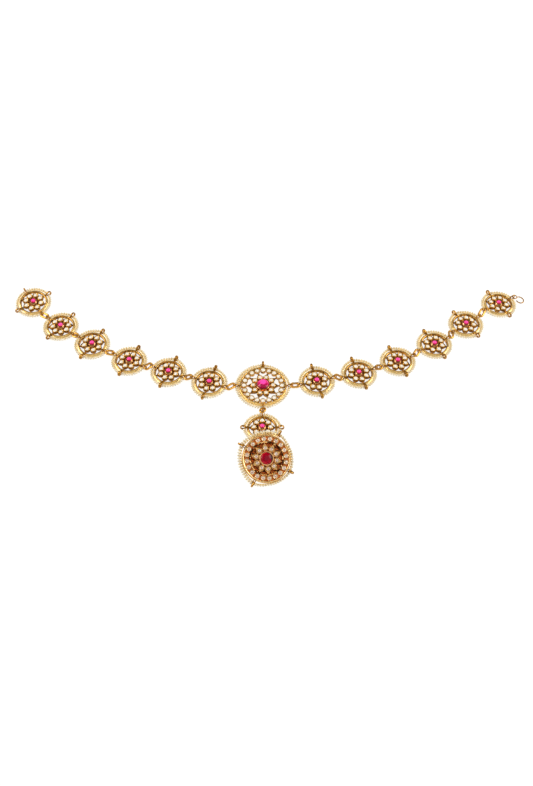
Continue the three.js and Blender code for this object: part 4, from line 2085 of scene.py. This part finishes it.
@dataclass(frozen=True)
class JumpLink:
    """An oval wire link between two eyelets."""

    name: str
    start: Eyelet
    end: Eyelet
    lean: float = 8.0
    wire: float = 0.64
    half_width: float = 1.24
    pull: float = 0.28
    rise: float = 0.2
    gap: float = 0.03

    def build(self, shop: Workshop) -> None:
        """Bends the link through both eyelets.

        Args:
            shop: The finishes and trees.
        """
        way = self.end.middle - self.start.middle
        normal = way.cross(UP.cross(way)).normalized()
        start = bend_centre(self.start, self.pull + self.half_width, normal)
        end = bend_centre(self.end, self.pull + self.half_width, normal)
        along = (end - start).normalized()
        upright = Matrix((along, normal.cross(along), normal)).transposed().to_4x4()
        lean = Matrix.Rotation(math.radians(self.lean), 4, "X")
        place = Matrix.Translation((start + end) / 2 + UP * self.rise) @ upright @ lean
        half = (end - start).length / 2
        path = [Vector((-self.gap, self.half_width, 0.0))]
        for step in range(LINK_STEPS + 1):
            angle = QUARTER + TAU * step / LINK_STEPS
            bend = Vector((math.cos(angle), math.sin(angle), 0.0)) * self.half_width
            path.append(bend + Vector((-half if step <= LINK_STEPS // 2 else half, 0.0, 0.0)))
        path.append(Vector((self.gap, self.half_width, 0.0)))
        mesh = shop.bent_wire("link", path, {"Wire radius": self.wire, "Sides": 10, "Outward": 0.85})
        shop.deliver(f"jump_{self.name}", mesh, place, self.name)


def bend_centre(eyelet: Eyelet, reach: float, normal: Vector) -> Vector:
    """The centre of a wire's bend through an eyelet.

    Args:
        eyelet: The eyelet.
        reach: How far the centre lies ahead of the eyelet's middle.
        normal: The normal of the bend's plane.

    Returns:
        The centre.
    """
    in_plane = eyelet.ahead - normal * eyelet.ahead.dot(normal)
    return eyelet.middle + in_plane.normalized() * reach


@dataclass(frozen=True)
class CrookHook:
    """The crook at the right end: an eye, a shank, a round bend and a short return."""

    owner: Medallion
    wire: float = 0.32
    eye: float = 1.3
    rise: float = -0.1
    eye_turn: float = -10.0
    eye_start: float = 52.0
    eye_gap: float = 0.3
    turn: float = -61.0
    drop: float = 11.0
    pull: float = 0.3
    knots: Profile = (
        (1.1, 0.65), (2.3, 1.75), (3.7, 2.1), (5.3, 1.6),
        (6.0, 0.0), (5.3, -1.6), (3.7, -2.2), (2.1, -1.9),
    )

    def build(self, shop: Workshop) -> None:
        """Bends the hook from one wire.

        Args:
            shop: The finishes and trees.
        """
        eyelet = self.owner.eyelet(Side.AHEAD)
        turned_ahead = Matrix.Rotation(math.radians(self.eye_turn), 3, "Z") @ eyelet.ahead
        centre = bend_centre(Eyelet(eyelet.middle, turned_ahead), self.pull + self.eye, UP)
        heading = math.atan2(eyelet.ahead.y, eyelet.ahead.x) + math.radians(self.turn)
        place = (
            Matrix.Translation(centre + UP * self.rise)
            @ Matrix.Rotation(heading, 4, "Z")
            @ Matrix.Rotation(math.radians(self.drop), 4, "Y")
        )
        path = []
        for step in range(EYE_STEPS + 1):
            angle = math.radians(self.eye_start) + (TAU - self.eye_gap) * step / EYE_STEPS
            path.append(Vector((math.cos(angle), math.sin(angle), 0.0)) * self.eye)
        path.extend(smooth_path([Vector((*knot, 0.0)) for knot in self.knots], CROOK_STEPS))
        mesh = shop.bent_wire("hook", path, {"Wire radius": self.wire, "Sides": 12, "Outward": 1.0})
        shop.deliver("crook_hook", mesh, place, "hook")


def smooth_path(knots: Sequence[Vector], steps: int) -> list[Vector]:
    """A smooth path through knots.

    Args:
        knots: The points that it passes through.
        steps: How many steps from knot to knot.

    Returns:
        The path's points.
    """
    ends = [knots[0] * 2 - knots[1], *knots, knots[-1] * 2 - knots[-2]]
    path = []
    for number in range(1, len(ends) - 2):
        before, start, end, after = ends[number - 1 : number + 3]
        linear, square = end - before, 2 * before - 5 * start + 4 * end - after
        cubic = 3 * start - before - 3 * end + after
        for step in range(steps):
            share = step / steps
            path.append(start + (linear * share + square * share**2 + cubic * share**3) / 2)
    return [*path, knots[-1]]


# ---------------------------------------------------------------- the headpiece and the room


@dataclass(frozen=True)
class Lay:
    """How one medallion lies: its turn in the plane and its tilts, in degrees."""

    name: str
    heading: float
    pitch: float
    roll: float = 0.0


BAND = (
    Lay("01", -55, 7), Lay("02", -38, 1), Lay("03", -32, 4), Lay("04", -27, 0), Lay("05", -23, 0),
    Lay("06", -19, 3), Lay("centre", 0, 0), Lay("07", 15, 2), Lay("08", 20, 0), Lay("09", 24, 0),
    Lay("10", 29, 0), Lay("11", 36, 0), Lay("12", 30, -3),
)
DROP = Lay("drop", 0, -4)
PENDANT = Lay("pendant", 62, 28, 6)


class Headpiece:
    """The band, the drop, the pendant, the links and the hook."""

    def __init__(self) -> None:
        """Places every sub-assembly."""
        self.band = [
            self._medallion(lay, CENTRE_SIZES if lay.name == "centre" else SIDE_SIZES, number + 1)
            for number, lay in enumerate(BAND)
        ]
        self.drop = self._medallion(DROP, DROP_SIZES, 21)
        self.pendant = replace(self._medallion(PENDANT, PENDANT_SIZES, 22), dusky=True)
        self.centre = next(medallion for medallion in self.band if medallion.name == "centre")

    @staticmethod
    def _medallion(lay: Lay, sizes: MedallionSizes, seed: int) -> Medallion:
        """A medallion in its place."""
        return Medallion(lay.name, sizes, lay.heading, lay.pitch, lay.roll, seed=seed)

    def _links(self) -> list[JumpLink]:
        """The jump links along the band and down to the pendant.

        Returns:
            The links, in the order in which they are built.
        """
        links = [
            JumpLink(f"link_{left.name}_{right.name}", left.eyelet(Side.AHEAD), right.eyelet(Side.BEHIND))
            for left, right in zip(self.band, self.band[1:])
        ]
        below, hanging = self.centre.eyelet(Side.RIGHT), self.drop.eyelet(Side.RIGHT)
        links.append(JumpLink("link_centre_drop", below, self.drop.eyelet(Side.LEFT)))
        links.append(JumpLink("link_drop_pendant", hanging, self.pendant.bail(hanging.middle), lean=0.0))
        return links

    def build(self, shop: Workshop) -> None:
        """Builds every piece in order.

        Args:
            shop: The finishes and trees.
        """
        for part in [*self.band, self.drop, self.pendant, *self._links(), CrookHook(self.band[-1])]:
            part.build(shop)


@dataclass(frozen=True)
class Lamp:
    """A soft box, in metres from the middle of the headpiece."""

    name: str
    spot: Triple
    size: float
    power: float


@dataclass(frozen=True)
class Studio:
    """The table, the soft boxes, the room's light and the camera."""

    elevation: float = 53.5
    distance: float = 0.6854
    lens: float = 54.5
    aim: Triple = (0.002, -0.004, 0.0)
    table_half: float = 8.0
    table_drop: float = 0.00002
    lamps: tuple[Lamp, ...] = (
        Lamp("box_left", (-1.0, 0.1, 0.75), 0.9, 12.0),
        Lamp("box_right", (1.0, 0.1, 0.75), 0.9, 12.0),
        Lamp("box_above", (0.0, -0.45, 1.3), 1.2, 3.0),
    )

    def build(self, shop: Workshop, middle: Vector) -> None:
        """Sets up the room.

        Args:
            shop: The finishes and trees.
            middle: The middle medallion's place, in metres.
        """
        target = middle + Vector(self.aim)
        target.z = 0.0
        self._table(shop.finishes.table)
        self._room()
        for lamp in self.lamps:
            self._soft_box(lamp, target)
        self._camera(target)
        bpy.context.scene.view_settings.view_transform = "Standard"

    def _table(self, finish: bpy.types.Material) -> None:
        """A broad pale table, its surface just under the headpiece.

        Args:
            finish: Its material.
        """
        half, corners = self.table_half, ((-1, -1), (1, -1), (1, 1), (-1, 1))
        points = [(x * half, y * half, -self.table_drop) for x, y in corners]
        mesh = mesh_of("table", points, [range(4)])
        mesh.materials.append(finish)
        table = bpy.data.objects.new("table", mesh)
        bpy.context.scene.collection.objects.link(table)

    def _room(self) -> None:
        """A room that is pale near the horizon and dim overhead."""
        world = bpy.data.worlds.new("soft_room")
        world.use_nodes = True
        bpy.context.scene.world = world
        world.node_tree.nodes.clear()
        bench = NodeBench(world.node_tree)
        way = bench.add("ShaderNodeTexCoord").outputs["Generated"]
        height = bench.value(bench.add("ShaderNodeSeparateXYZ", None, {"Vector": way}), "Z")
        ramp = bench.add(
            "ShaderNodeValToRGB",
            {
                "stops": [
                    (0.0, (1.0, 1.0, 1.0)), (0.4, (0.7, 0.68, 0.64)),
                    (0.65, (0.2, 0.15, 0.1)), (1.0, (0.16, 0.12, 0.08)),
                ]
            },
            {"Fac": height},
        )
        light = bench.add("ShaderNodeBackground", None, {"Color": ramp.outputs["Color"], "Strength": 0.6})
        bench.add("ShaderNodeOutputWorld", None, {"Surface": light.outputs["Background"]})

    def _soft_box(self, lamp: Lamp, target: Vector) -> None:
        """One soft box, aimed at the headpiece.

        Args:
            lamp: Its place, size and power.
            target: The point that it is aimed at.
        """
        data = bpy.data.lights.new(lamp.name, "AREA")
        data.shape = "SQUARE"
        data.size = lamp.size
        data.energy = lamp.power
        box = bpy.data.objects.new(lamp.name, data)
        box.location = target + Vector(lamp.spot)
        box.rotation_mode = "QUATERNION"
        box.rotation_quaternion = (target - box.location).to_track_quat("-Z", "Y")
        bpy.context.scene.collection.objects.link(box)

    def _camera(self, target: Vector) -> None:
        """The camera, in front of the headpiece and looking down on it.

        Args:
            target: The point that it looks at.
        """
        slope = math.radians(self.elevation)
        back = Vector((0.0, -math.cos(slope), math.sin(slope)))
        data = bpy.data.cameras.new("camera")
        data.lens = self.lens
        data.sensor_width = 36.0
        data.clip_start, data.clip_end = 0.01, 30.0
        camera = bpy.data.objects.new("camera", data)
        camera.location = target + back * self.distance
        camera.rotation_mode = "QUATERNION"
        camera.rotation_quaternion = (-back).to_track_quat("-Z", "Y")
        bpy.context.scene.collection.objects.link(camera)
        bpy.context.scene.camera = camera


def main() -> None:
    """Builds the headpiece and the room."""
    logging.basicConfig(level=logging.INFO, format="%(name)s: %(message)s")
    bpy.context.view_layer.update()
    shop = Workshop()
    headpiece = Headpiece()
    headpiece.build(shop)
    Studio().build(shop, headpiece.centre.place.translation * MM)


if __name__ == "__main__":
    main()
